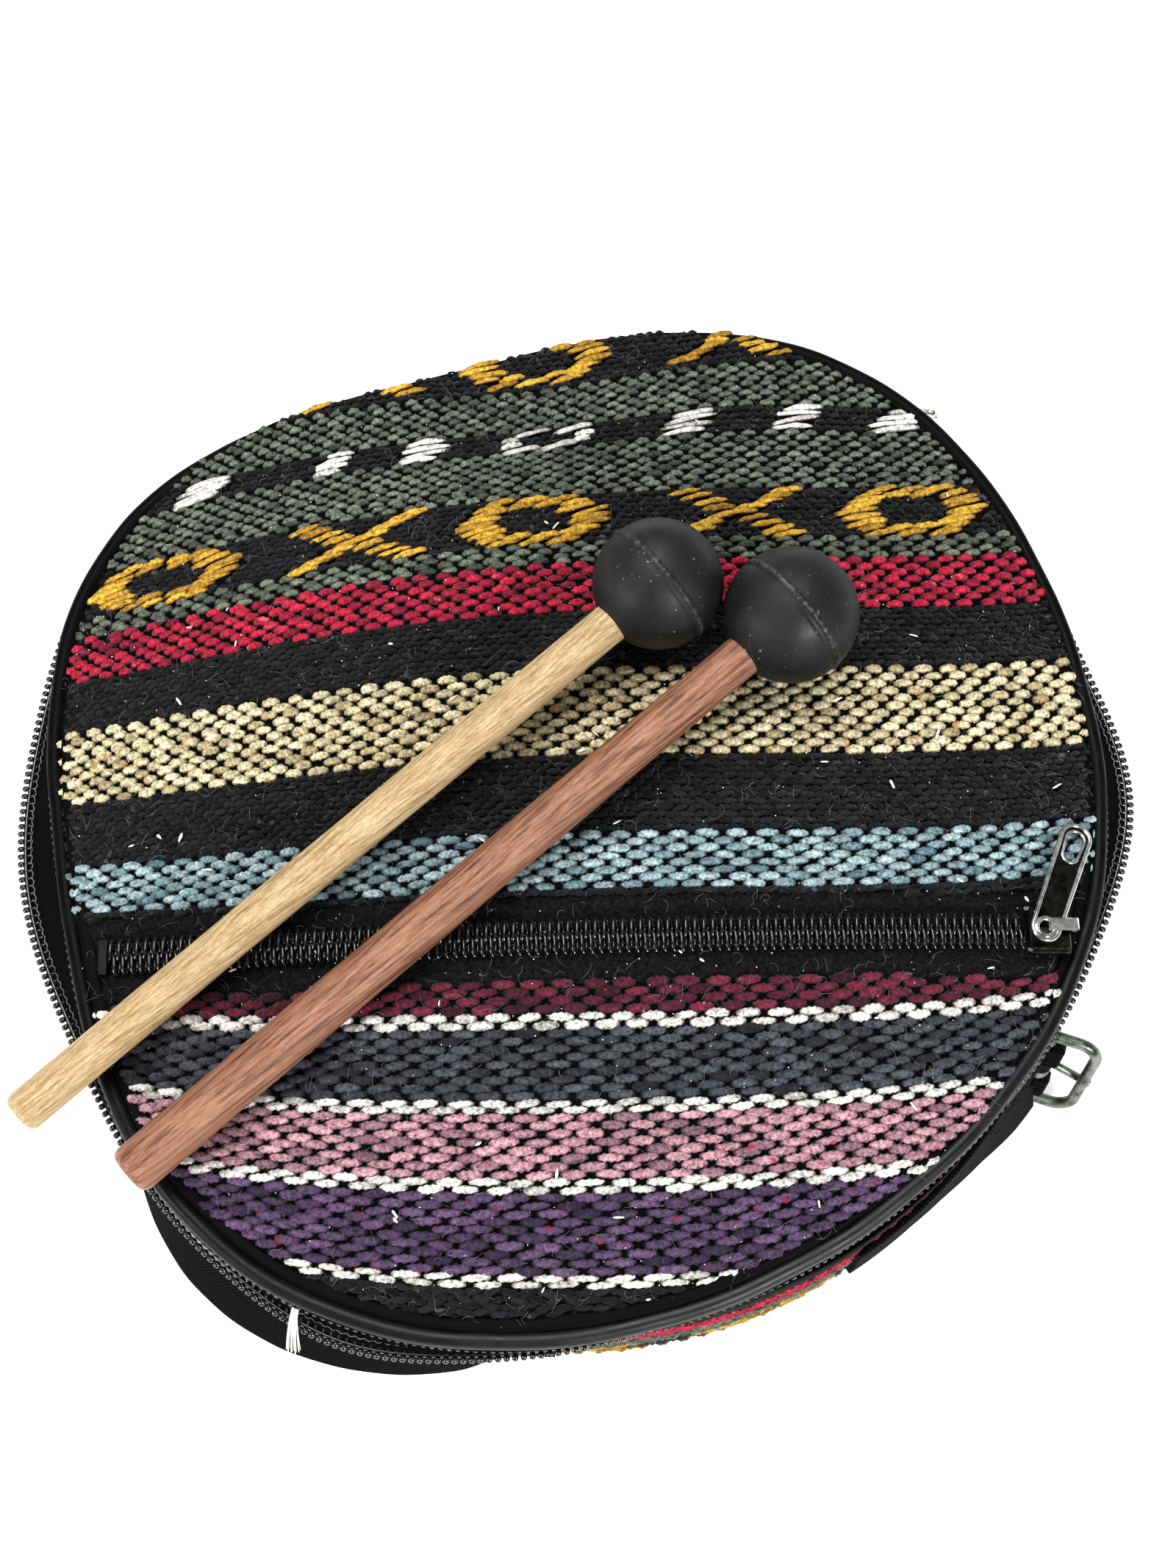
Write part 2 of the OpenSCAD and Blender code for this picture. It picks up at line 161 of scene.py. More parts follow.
def mesh_object(name, verts, quads, material, body, values=None, smooth_shade=True, node=None):
    """One object from an array of points and an array of quads.

    values are extra numbers per point, and node is the CAD node whose place it takes.
    """
    mesh = bpy.data.meshes.new(name)
    verts = np.asarray(verts, dtype=np.float32) * MM
    quads = np.asarray(quads, dtype=np.int32)
    mesh.vertices.add(len(verts))
    mesh.vertices.foreach_set("co", verts.ravel())
    corners = quads.shape[1]
    mesh.loops.add(quads.size)
    mesh.loops.foreach_set("vertex_index", quads.ravel())
    mesh.polygons.add(len(quads))
    mesh.polygons.foreach_set("loop_start", np.arange(0, quads.size, corners, dtype=np.int32))
    mesh.polygons.foreach_set("loop_total", np.full(len(quads), corners, dtype=np.int32))
    mesh.update(calc_edges=True)
    mesh.polygons.foreach_set("use_smooth", np.full(len(quads), smooth_shade))
    for key, numbers in (values or {}).items():
        layer = mesh.attributes.new(key, "FLOAT", "POINT")
        layer.data.foreach_set("value", np.asarray(numbers, dtype=np.float32).ravel())
    mesh.materials.append(material)
    obj = bpy.data.objects.new(name, mesh)
    bpy.context.scene.collection.objects.link(obj)
    if body:
        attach(obj, body)
    if node:
        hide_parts(node)
    return obj


def joined(parts):
    """Joins (points, quads) pairs, or (points, quads, values) with a number per point."""
    verts, quads, values, start = [], [], [], 0
    for part in parts:
        verts.append(part[0])
        quads.append(np.asarray(part[1]) + start)
        if len(part) > 2:
            values.append(part[2])
        start += len(part[0])
    whole = [np.concatenate(verts), np.concatenate(quads)]
    return whole + [np.concatenate(values)] if values else whole


def grid_quads(rows, columns, wrap_rows=False, wrap_columns=False):
    i = np.arange(rows if wrap_rows else rows - 1)[:, None]
    j = np.arange(columns if wrap_columns else columns - 1)[None, :]
    k, l = (i + 1) % rows, (j + 1) % columns
    return np.stack([i * columns + j, i * columns + l, k * columns + l, k * columns + j], -1).reshape(-1, 4)


def slab(top, under):
    """A closed sheet between two grids of points, with quads all round its border."""
    rows, columns = top.shape[:2]
    n = rows * columns
    place = np.arange(n).reshape(rows, columns)
    border = np.concatenate([place[0, :-1], place[:-1, -1], place[-1, :0:-1], place[:0:-1, 0]])
    ahead = np.roll(border, -1)
    quads = grid_quads(rows, columns)
    quads = np.concatenate([quads, quads[:, ::-1] + n, np.stack([border + n, ahead + n, ahead, border], -1)])
    return np.concatenate([top.reshape(-1, 3), under.reshape(-1, 3)]), quads


def unit(v):
    return v / np.linalg.norm(v, axis=-1, keepdims=True)


def tube(path, radius, sides=8, closed=False, ends=True):
    """A tube along a path. Its ends shrink to a rounded tip, or stay open."""
    path = np.asarray(path, float)
    n = len(path)
    if closed:
        along = unit(np.roll(path, -1, 0) - np.roll(path, 1, 0))
    else:
        along = unit(np.gradient(path, axis=0))
    side = unit(np.cross(along, STRAIGHT_UP))
    top = np.cross(side, along)
    radius = np.broadcast_to(np.asarray(radius, float), (n,))
    a = np.arange(sides) * 2 * np.pi / sides
    rings = path[:, None] + radius[:, None, None] * (np.cos(a)[None, :, None] * side[:, None]
                                                      + np.sin(a)[None, :, None] * top[:, None])
    verts = rings.reshape(-1, 3)
    quads = grid_quads(n, sides, closed, True)
    if not closed and ends:
        caps = []
        for ring, way in ((0, -1), (n - 1, 1)):
            tip = path[ring] + way * along[ring] * radius[ring] * 0.5
            small = tip + (rings[ring] - path[ring]) * 0.5
            base = len(verts)
            verts = np.concatenate([verts, small])
            j = np.arange(sides)
            caps.append(np.stack([ring * sides + j, ring * sides + (j + 1) % sides,
                                  base + (j + 1) % sides, base + j], -1)[:, ::-way])
            fan = [[base, base + k, base + k + 1, base + k + 2] for k in range(1, sides - 2, 2)]
            caps.append(np.array(fan)[:, ::-way])
        quads = np.concatenate([quads] + caps)
    return verts, quads


def ring_path(radius, z, steps):
    a = np.linspace(0, 360, steps, endpoint=False)
    return a, ring_points(a, radius(a), z)


# Quads that close a ring of eight or six points.
END_CAP = {8: [[0, 1, 2, 3], [0, 3, 4, 7], [4, 5, 6, 7]], 6: [[0, 1, 2, 3], [0, 3, 4, 5]]}


def box_rounded(size, at=(0, 0, 0), edge=0.3):
    """A small block with chamfered edges, as points and quads."""
    half = np.array(size, float) / 2
    e = min(edge, *(half * 0.9))
    outline = [(1, -1), (1, 1), (-1, 1), (-1, -1)]
    verts = []
    for z, shrink in ((-half[2], e), (-half[2] + e, 0), (half[2] - e, 0), (half[2], e)):
        for sx, sy in outline:
            cx, cy = sx * (half[0] - shrink), sy * (half[1] - shrink)
            first = (cx - sx * e * 0.5, cy) if sx * sy > 0 else (cx, cy - sy * e * 0.5)
            second = (cx, cy - sy * e * 0.5) if sx * sy > 0 else (cx - sx * e * 0.5, cy)
            verts += [(*second, z), (*first, z)]
    quads = list(grid_quads(4, 8, False, True))
    for base, way in ((0, -1), (24, 1)):
        quads += [[base + c for c in q][::way] for q in END_CAP[8]]
    return np.array(verts) + np.array(at), np.array(quads)


# ---- materials ----

NO_TURN = (0, 0, 0)


def rgb(code):
    """Linear colour from an sRGB hex code."""
    srgb = np.array([int(code[i:i + 2], 16) for i in (1, 3, 5)]) / 255
    return tuple(np.where(srgb <= 0.04045, srgb / 12.92, ((srgb + 0.055) / 1.055) ** 2.4)) + (1.0,)


def colour_of(value):
    """A colour from a hex code, from a grey level, or as it is."""
    if isinstance(value, str):
        return rgb(value)
    return (value, value, value, 1) if isinstance(value, (int, float)) else (*value[:3], 1)


class Look:
    """A material and the nodes that feed its surface shader."""

    def __init__(self, name, roughness=0.6, metallic=0.0, specular=0.5, sheen=0.0):
        self.material = bpy.data.materials.new(name)
        self.material.use_nodes = True
        self.nodes, self.links = self.material.node_tree.nodes, self.material.node_tree.links
        self.sockets = self.nodes["Principled BSDF"].inputs
        for socket, value in (("Roughness", roughness), ("Metallic", metallic),
                              ("Specular IOR Level", specular), ("Sheen Weight", sheen),
                              ("Sheen Roughness", 0.6)):
            self.sockets[socket].default_value = value

    def feed(self, socket, value):
        """Sets an input to a plain value or links it to another node's output."""
        if isinstance(value, bpy.types.NodeSocket):
            self.links.new(value, socket)
        else:
            socket.default_value = value

    def node(self, kind, *values):
        """A new node whose inputs are filled by (input, value) pairs."""
        node = self.nodes.new("ShaderNode" + kind)
        for socket, value in values:
            self.feed(node.inputs[socket], value)
        return node

    def surface(self, socket, value):
        self.feed(self.sockets[socket], value)

    def attribute(self, name):
        """The number that the mesh carries at each point under this name."""
        node = self.node("Attribute")
        node.attribute_name = name
        return node.outputs["Fac"]

    def noise(self, scale, detail=3.0, roughness=0.55, stretch=None):
        """A noise texture in the object's own metres; stretch is a (turn, scale) pair."""
        source = self.node("TexCoord").outputs["Object"]
        for socket, value in zip(("Rotation", "Scale"), stretch or ()):
            source = self.node("Mapping", ("Vector", source), (socket, value)).outputs["Vector"]
        return self.node("TexNoise", ("Vector", source), ("Scale", scale), ("Detail", detail),
                         ("Roughness", roughness)).outputs["Fac"]

    def ramp(self, source, *stops):
        """Colours or grey levels for rising values of source, as (value, colour) pairs."""
        node = self.node("ValToRGB", ("Fac", source))
        elements = node.color_ramp.elements
        while len(elements) < len(stops):
            elements.new(0.5)
        for element, (place, colour) in zip(elements, stops):
            element.position = place
            element.color = colour_of(colour)
        return node.outputs["Color"]

    def mix(self, amount, first, second, blend="MIX"):
        node = self.node("Mix")
        node.data_type = "RGBA"
        node.blend_type = blend
        for socket, value in ((0, amount), (6, first), (7, second)):
            self.feed(node.inputs[socket], value)
        return node.outputs[2]

    def bump(self, height, strength, distance):
        node = self.node("Bump", ("Strength", strength), ("Distance", distance * MM), ("Height", height))
        self.surface("Normal", node.outputs["Normal"])


def yarn_material(name, light, dark, fleck=None):
    """Cotton yarn: each float has its own tone with painted shade on its sides and ends, fine fibres, and now
    and then a fleck of another colour.
    """
    look = Look(name, roughness=0.95, specular=0.12, sheen=0.10)
    # The near-black first stop is painted shade in the hollows between floats.
    hollow = tuple(0.10 * level for level in rgb(dark)[:3])
    colour = look.ramp(look.attribute("tint_and_shade"), (0.0, hollow), (0.45, dark), (1.0, light))
    shade = look.ramp(look.noise(1300, 6, 0.8), (0.36, 0.22), (0.50, 0.92), (0.64, 1.60))
    colour = look.mix(1.0, colour, shade, "MULTIPLY")
    if fleck:
        spots = look.ramp(look.noise(380, 2), (0.67, 0), (0.72, 1))
        colour = look.mix(spots, colour, rgb(fleck))
    look.surface("Base Color", colour)
    look.bump(look.noise(1900, 4, 0.75), 0.9, 0.22)
    return look.material


def plain_material(name, light, dark, scale, roughness, bump_scale, bump_height, **more):
    """A mottled colour with a fine bump."""
    stretch = more.pop("stretch", None)
    look = Look(name, roughness=roughness, **more)
    look.surface("Base Color", look.ramp(look.noise(scale, 5, 0.6, stretch), (0.35, dark), (0.65, light)))
    look.bump(look.noise(bump_scale, 4, 0.6, stretch), 0.6, bump_height)
    return look.material


# ---- woven cloth ----


def yarn_floats(centre, along, normal, length, width, rings=9, sides=8, lay=2.4, dip=0.8, ply=0.22, flat=0.8):
    """Visible stretches of two-ply yarn: cigar shapes with twisted strands whose ends dip into the cloth."""
    n = len(centre)
    along, normal = (unit(np.broadcast_to(way, centre.shape)) for way in (along, normal))
    length, width = (np.broadcast_to(size, n) for size in (length, width))
    across = unit(np.cross(normal, along))
    s = np.linspace(0, 1, rings)
    phi = np.arange(sides) * 2 * np.pi / sides
    arch = np.sin(np.pi * (0.04 + 0.92 * s))
    radius = (width / 2)[:, None] * (0.25 + 0.75 * arch[None] ** 0.42)
    phase = rng.uniform(0, np.pi, n)
    twist = phase[:, None] + np.pi * 2 * (s[None] * length[:, None]) / lay
    strands = radius[:, :, None] * (1 + ply * np.cos(2 * (phi[None, None] - twist[:, :, None])))
    sideways = strands * np.cos(phi)
    upward = flat * strands * np.sin(phi) - dip * (1 - arch[None, :, None] ** 0.8)
    forward = ((s - 0.5)[None] * length[:, None])[:, :, None] + 0 * sideways
    verts = (centre[:, None, None] + forward[..., None] * along[:, None, None]
             + sideways[..., None] * across[:, None, None] + upward[..., None] * normal[:, None, None])
    one = grid_quads(rings, sides, False, True)[:, ::-1]
    caps = np.array(END_CAP[sides])
    one = np.concatenate([one, caps, (caps + (rings - 1) * sides)[:, ::-1]])
    quads = (one[None] + (np.arange(n) * rings * sides)[:, None, None]).reshape(-1, 4)
    # Painted shade: each float's tone darkens on its sides and underside and towards its ends.
    painted_light_along = 1 - 0.8 * smooth(np.abs(2 * s - 1), 0.72, 1.0)
    painted_shadow = 1 - smooth(np.sin(phi), -0.2, 0.68)[None] * painted_light_along[:, None]
    tint_and_shade = 0.45 + 0.62 * np.clip(rng.normal(0.55, 0.28, n), 0, 1)
    tint_and_shade = np.clip(tint_and_shade[:, None, None] - 0.75 * painted_shadow[None], 0, 1).ravel()
    return verts.reshape(-1, 3), quads, tint_and_shade


def droop(v, x):
    """How far a stripe at the height v has slipped in Y at the side position x."""
    s, t = (x - 10) / 80, v / 80
    slip = 2.3 * s - 2.4 * s ** 2 + 2.4 * s ** 3 + 2.0 * s ** 4
    slip += t * (2.0 * s - 5.2 * s ** 2 + 2.1 * s ** 3) + t * t * (2.0 * s + 4.2 * s ** 2)
    local = 2.4 * np.exp(-((x - 36) / 22) ** 2) - 1.3 * np.exp(-((x + 10) / 18) ** 2)
    return slip + smooth(v, 58, 78) * local


WARPS = 130
warp_wander = np.cumsum(rng.normal(0, 0.10, WARPS))
warp_wander -= np.linspace(warp_wander[0], warp_wander[-1], WARPS)


def warp_at(number, v):
    """Where a warp thread crosses the height v. The warps fan out towards the front of the lid."""
    number = np.asarray(number, float)
    half_pitch = 2.35 + 0.70 * (14 - v) / 100
    s = number * half_pitch
    sway = np.interp(number, np.arange(WARPS) - WARPS / 2, warp_wander)
    return 12 + s * (1 - 0.030 * (s / 90) ** 2) + sway * 0.6 + 0.5 * np.sin(v / 13 + number / 9)


def weft_row(v, parity, span=2.0):
    """Middles and lengths between the warps that hold each float of one row down."""
    middle = np.arange(-WARPS // 2, WARPS // 2, span) + parity
    left, right = warp_at(middle - span / 2, v), warp_at(middle + span / 2, v)
    return (left + right) / 2, right - left


def lid_frame(x, v, lean):
    """Plan position and direction of floats for cloth coordinates x along and v across the stripes."""
    y = v + droop(v, x)
    slope = (droop(v, x + 0.5) - droop(v, x - 0.5))
    turn = np.arctan(slope) + lean
    along = np.stack([np.cos(turn), np.sin(turn), -(x * np.cos(turn) + y * np.sin(turn)) / DOME_R], -1)
    return x, y, along


def on_lid(x, y, along, depth):
    centre = np.stack([x, y, lid_z(x, y, depth)], -1)
    normal = np.stack([x / DOME_R, y / DOME_R, np.ones_like(x)], -1)
    return centre, unit(along), unit(normal)


def keep_on_cloth(x, y, reach):
    """Which floats lie on the lid's cloth: inside the binding and clear of the pocket zip's slot."""
    u, v = pocket_xy(x, y)
    edge = np.maximum(shown_edge(angle_of(x, y)) - 1.0, 0.5)
    return (inside_rim(x, y) > edge) & (np.abs(v) > POCKET_HALF + reach)


STRIPES = [
    # name, upper edge, lower edge, rows, yarn
    ("green_top", 84.3, 74.5, 9, "green"), ("green_mid", 69.6, 58.3, 11, "green"),
    ("green_low", 48.1, 43.7, 4, "green"), ("red", 43.7, 33.4, 8, "red"), ("cream", 21.8, 4.9, 12, "cream"),
    ("light_blue", -9.5, -20.0, 8, "light_blue"), ("burgundy", -36.1, -41.9, 4, "burgundy"),
    ("white_1", -41.9, -44.7, 2, "white"), ("charcoal", -44.7, -56.8, 9, "charcoal"),
    ("white_2", -56.8, -59.2, 2, "white"), ("pink", -59.2, -70.1, 8, "pink"),
    ("white_3", -70.1, -72.6, 2, "white"),
    ("purple", -72.6, -85.9, 10, "purple"), ("white_4", -85.9, -88.1, 2, "white"),
]
BLACKS = [("black_top", 100.0, 84.3, 13), ("black_dash", 74.5, 69.6, 4), ("black_motif", 58.3, 48.1, 9),
          ("black_wide", 33.4, 21.8, 10), ("black_mid", 4.9, -9.5, 12), ("black_zip", -20.0, -22.2, 2),
          ("black_low", -88.1, -102.0, 12)]
YARNS = {
    # name: light, dark, colour of the flecks
    "green": ("#777e6e", "#42493f", None), "red": ("#c02a48", "#7d1630", "#d8606a"),
    "cream": ("#dfd4b2", "#a59873", "#b98a56"), "light_blue": ("#a6b9bd", "#647d84", "#5f9a94"),
    "burgundy": ("#722a40", "#3a1423", "#a02c3c"), "white": ("#eeece6", "#b3b1aa", None),
    "charcoal": ("#51555e", "#24262c", None), "pink": ("#c498a2", "#80606b", "#a8485c"),
    "purple": ("#67506f", "#33263d", "#8c2448"), "gold": ("#d4aa40", "#9a7428", None),
    "black": ("#222428", "#030304", "#4a4c52"),
}
yarns = {key: yarn_material("yarn_" + key, light, dark, fleck) for key, (light, dark, fleck) in YARNS.items()}
FLOAT_LEAN = math.radians(2.5)
HOLE = 1.0


def stripe(name, high, low, rows, yarn):
    """One stripe of weft floats in a brick pattern, with a dark hole at the end of each float."""
    row_gap = (high - low) / rows
    xs, vs, lengths = [], [], []
    for row in range(rows):
        v = high - (row + 0.5) * row_gap
        x, length = weft_row(v, row % 2)
        xs.append(x + rng.normal(0, 0.18, len(x)) + rng.normal(0, 0.22))
        vs.append(v + rng.normal(0, 0.07, len(x)))
        lengths.append((length - HOLE) * rng.normal(1.0, 0.05, len(x)))
    x, v, length = np.concatenate(xs), np.concatenate(vs), np.concatenate(lengths)
    x, y, along = lid_frame(x, v, FLOAT_LEAN + rng.normal(0, 0.05, len(x)))
    keep = keep_on_cloth(x, y, 0.2)
    centre, along, normal = on_lid(x[keep], y[keep], along[keep], 0.55 + rng.normal(0, 0.07, keep.sum()))
    width = row_gap * 1.26 * rng.normal(1, 0.07, keep.sum())
    verts, quads, tint_and_shade = yarn_floats(centre, along, normal, length[keep], width)
    return mesh_object("weave_" + name, verts, quads, yarns[yarn], "lid", {"tint_and_shade": tint_and_shade})


MOTIFS = [(-76.0, "ring"), (-40.4, "cross"), (-7.4, "ring"), (30.6, "cross"), (63.8, "ring")]
DASHES = [(-69.8, 5.2), (-45.4, 3.4), (-28.6, 4.4), (-4.9, 8.8), (21.7, 5.0), (42.6, 4.6), (62.9, 5.6)]


def gold_at(x, t):
    """True where a gold ring or cross is, at x along the band and t from -1 to 1 across it."""
    hit = np.zeros(np.broadcast(x, t).shape, bool)
    for middle, kind in MOTIFS:
        away = x - middle
        if kind == "ring":
            inner = 7.0 * np.sqrt(np.clip(1 - (t / 0.62) ** 2, 0, 1))
            hit |= (np.abs(away) < 15.0 - 7.0 * np.abs(t) ** 1.3) & (np.abs(away) > inner)
        else:
            hit |= np.abs(np.abs(away) - 0.6 - 10.4 * np.abs(t)) < 3.2
    return hit


def dash_at(x, t):
    hit = np.zeros(np.broadcast(x, t).shape, bool)
    for middle, half in DASHES:
        notch = (np.abs(x - middle - 1.8 * t) < half * (1 - 0.35 * t * t))
        waist = (half > 8) & (np.abs(t) < 0.4) & (np.abs(x - middle) < half * 0.55)
        hit |= notch & ~waist
    return hit


def motif_strands(row_places, motif, longest):
    """Middle, height and length of the long strands that cover the motif's part of each row."""
    strands = []
    fine = np.arange(-100, 100, 0.25)
    for v, t in row_places:
        on = np.concatenate([[False], motif(fine, t), [False]])
        starts = fine[np.flatnonzero(on[1:-1] & ~on[:-2])]
        stops = fine[np.flatnonzero(on[1:-1] & ~on[2:])]
        for start, stop in zip(starts, stops):
            pieces = max(1, round((stop - start) / longest))
            size = (stop - start) / pieces
            for piece in range(pieces):
                strands.append((start + (piece + 0.5) * size + rng.normal(0, 0.4), v, max(size * 1.12, 1.8)))
    return strands


def black_and_motif(name, high, low, rows):
    """A band of small black floats, with long slanting strands where the pattern is."""
    row_gap = (high - low) / rows
    motif = {"black_top": gold_at, "black_motif": gold_at, "black_dash": dash_at}.get(name)
    black, places = [], []
    for row in range(rows):
        v = high - (row + 0.5) * row_gap
        t = (v - 90.4) / 5.2 if name == "black_top" else (0.5 - (row + 0.5) / rows) * 2
        x, length = weft_row(v, 0.5 * (row % 2), 1.0)
        on = motif(x, t) & (abs(t) <= 1) if motif else np.zeros(len(x), bool)
        black += [(a, v, b * 1.12) for a, b in zip(x[~on], length[~on])]
        if abs(t) <= 1:
            places.append((v, t))
    dashes = name == "black_dash"
    parts = [("", black, "black", 1.25, 0.62, FLOAT_LEAN)]
    if motif:
        strands = motif_strands(places, motif, 9.0 if dashes else 5.6)
        lean = math.radians(6 if dashes else 11)
        parts.append(("_motif", strands, "white" if dashes else "gold", 1.2 if dashes else 1.32, 0.35, lean))
    for suffix, found, yarn, thickness, depth, lean in parts:
        x, v, length = np.array(found).T
        v = v + rng.normal(0, 0.10, len(v))
        x, y, along = lid_frame(x, v, lean + rng.normal(0, 0.05 if suffix else 0.22, len(x)))
        keep = keep_on_cloth(x, y, 0.0)
        centre, along, normal = on_lid(x[keep], y[keep], along[keep], depth)
        width = thickness * rng.normal(1, 0.1, keep.sum())
        small = {} if suffix else {"rings": 6, "sides": 6}
        verts, quads, tint_and_shade = yarn_floats(centre, along, normal, length[keep], width, dip=0.6, **small)
        mesh_object("weave_" + name + suffix, verts, quads, yarns[yarn], "lid", {"tint_and_shade": tint_and_shade})


def lid_base():
    """The dark warp under the floats: one sheet on each side of the pocket zip, with its edge folded down."""
    material = plain_material("warp_black", "#0c0c0f", "#040405", 900, 0.95, 1400, 0.25, specular=0.1,
                              stretch=(NO_TURN, (2.5, 0.6, 1)))
    for side, upper in (("upper", True), ("lower", False)):
        steps, columns = 60, 150
        edge = POCKET_HALF + 0.1 if upper else -POCKET_HALF - 0.1
        reach = np.linspace(0, 145, 600) * (1 if upper else -1)

        def span(uu):
            x, y = from_pocket(uu, edge + reach)
            inside = reach[inside_rim(x, y) > np.maximum(shown_edge(angle_of(x, y)) - 1.4, 0.25)]
            return (inside[0], inside[-1]) if len(inside) else None

        reached = [uu for uu in np.linspace(-101, 101, 1011) if span(uu)]
        middle, half = (reached[0] + reached[-1]) / 2, (reached[-1] - reached[0]) / 2
        x, y = np.empty((2, steps, columns))
        for j, uu in enumerate(middle + half * np.sin(np.linspace(-np.pi / 2, np.pi / 2, columns)) * 0.9999):
            near, far = span(uu)
            x[:, j], y[:, j] = from_pocket(uu, edge + near + np.linspace(0, 1, steps) * (far - near))
        z = lid_z(x, y, 0.95) - 0.5 * (np.arange(steps) == 0)[:, None]
        top = np.stack([x, y, z], -1)
        verts, quads = slab(top, top - [0, 0, 0.7])
        mesh_object("cloth_base_" + side, verts, quads if upper else quads[:, ::-1], material, "lid",
                    node="lid_panel_" + side)


lid_base()
for entry in STRIPES:
    stripe(*entry)
for entry in BLACKS:
    black_and_motif(*entry)

# ---- edge of the lid ----


def lofted(profile, steps):
    """A ring whose cross-section is profile(angles): an array of angles by points by (radius, height)."""
    a = np.linspace(0, 360, steps, endpoint=False)
    section = profile(a)
    verts = ring_points(a[:, None], section[..., 0], section[..., 1]).reshape(-1, 3)
    return verts, grid_quads(steps, section.shape[1], True, True)


def covered(a):
    """How far the cloth bulges over the binding: 0 where the binding shows, 1 where it is hidden."""
    return np.clip(1.15 - shown_edge(a) / 3.4, 0, 1)


def edge_binding():
    material = plain_material("coated_binding", "#080809", "#030304", 300, 0.6, 700, 0.10, specular=0.08)

    def profile(a):
        r = rim(a)
        wave = 0.12 * sind(a * 41) + 0.10 * sind(a * 17 + 50)
        inner, outer = r - BINDING_W + 1.6 * hump(a, 316, 26) + wave, r - 2 * PIPING_R + 0.5
        top_in = dome_z(inner) - 1.8 * covered(a)
        points = [(inner, top_in - 2.2), (inner, top_in - 1.1), (inner + 0.35, top_in - 0.85),
                  ((inner + outer) / 2, top_in - 0.75 + wave * 0.5), (outer - 0.4, top_in - 0.75),
                  (outer, top_in - 1.6), (outer, top_in - 3.4), (inner + 0.4, top_in - 3.4)]
        return np.stack([np.stack([p[0], np.broadcast_to(p[1], a.shape)], -1) for p in points], 1)

    verts, quads = lofted(profile, 360)
    mesh_object("edge_binding", verts, quads[:, ::-1], material, "lid", node="lid_binding")


def piping():
    look = Look("piping_plastic")
    smear = look.noise(190, 4, 0.6)
    look.surface("Base Color", look.ramp(smear, (0.3, "#050506"), (0.75, "#101012")))
    look.surface("Roughness", look.ramp(smear, (0.3, 0.36), (0.7, 0.52)))
    look.surface("Specular IOR Level", look.attribute("gloss"))
    look.bump(look.noise(260, 3), 0.35, 0.10)
    a, path = ring_path(lambda t: rim(t) - PIPING_R + 0.10 * sind(t * 23), PIPING_Z, 480)
    path[:, 2] += 0.10 * sind(a * 19) + 0.06 * sind(a * 47 + 20) - 1.3 * covered(a)
    verts, quads = tube(path, PIPING_R, 14, closed=True)
    values = {"gloss": np.repeat(0.05 + 0.40 * hump(a, 285, 55), 14)}
    mesh_object("piping_cord", verts, quads, look.material, "lid", values, node="lid_piping")


def tape_material(name, light):
    """Knitted zip tape: fine cross ribs with a matt sheen."""
    look = Look(name, roughness=0.85, specular=0.10)
    look.surface("Base Color", look.ramp(look.noise(1400, 4, 0.7), (0.36, "#030304"), (0.64, light)))
    look.bump(look.noise(1500, 2, 0.6), 1.0, 0.40)
    return look.material


TAPE = tape_material("knit_tape", "#0c0c0d")
POCKET_TAPE = tape_material("pocket_knit_tape", "#202023")


def teeth_material(name, roughness, specular):
    look = Look(name, roughness=roughness, specular=specular)
    look.surface("Base Color", look.ramp(look.noise(600, 2), (0.3, "#050506"), (0.7, "#0e0e10")))
    look.bump(look.noise(900, 2), 0.2, 0.05)
    return look.material


TEETH = teeth_material("nylon_teeth", 0.14, 1.0)
DULL_TEETH = teeth_material("dull_nylon_teeth", 0.6, 0.15)
TOOTH_PITCH = 1.57
THREAD = plain_material("sewing_thread", "#141416", "#060607", 1500, 0.7, 2500, 0.08, specular=0.2)


def tape_point(a, s):
    """A point across the lid's loose zip tape, from its seam at s = 0 to its free edge at s = 1."""
    r, out = rim(a), flare(a)
    bulge = 0.9 * np.sin(np.pi * s)
    ripple = 0.18 * sind(a * 13) * s
    radius = r - 2.6 + (out + 2.6 - 0.9) * s ** 0.9
    height = 46.0 + (42.3 - 46.0) * s ** 1.15 - bulge * 0.4 + ripple
    return radius, height


def zip_tape():
    steps = np.linspace(0, 1, 9)

    def profile(a):
        top = [np.stack(tape_point(a, s), -1) for s in steps]
        low = [point - np.array([0.1, 0.7]) for point in top[::-1]]
        return np.stack(top + low, 1)

    mesh_object("zip_tape_lid", *lofted(profile, 360), TAPE, "lid", node="lid_zip_tape")


def coil(radius_of, height, pitch, wide, wire, first, last):
    """A helix of nylon round the case between two angles: teeth that thicken at the free edge."""
    a = np.linspace(first, last, 2000)
    reach = run_along(ring_points(a, radius_of(a), 0))
    turns = int(reach[-1] / pitch)
    steps = turns * 12 + 1
    where = np.interp(np.linspace(0, reach[-1], steps), reach, a)
    phase = np.linspace(0, turns * 2 * np.pi, steps)
    path = ring_points(where, radius_of(where) + wide * np.cos(phase), height + wide * np.sin(phase))
    return tube(path, wire * (1 + 0.55 * smooth(np.cos(phase), 0.3, 1.0)), 6, ends=False)


GREY_THREAD = plain_material("grey_thread", "#8d8d90", "#4c4c4f", 1500, 0.7, 2500, 0.05, specular=0.3)


def spaced_angles(radius_of, spacing):
    """Angles round a closed outline that are evenly spaced along it."""
    a = np.linspace(0, 360, 4000)
    reach = run_along(ring_points(a, radius_of(a), 0))
    count = int(reach[-1] / spacing)
    return np.interp(np.linspace(0, reach[-1], count, endpoint=False), reach, a)


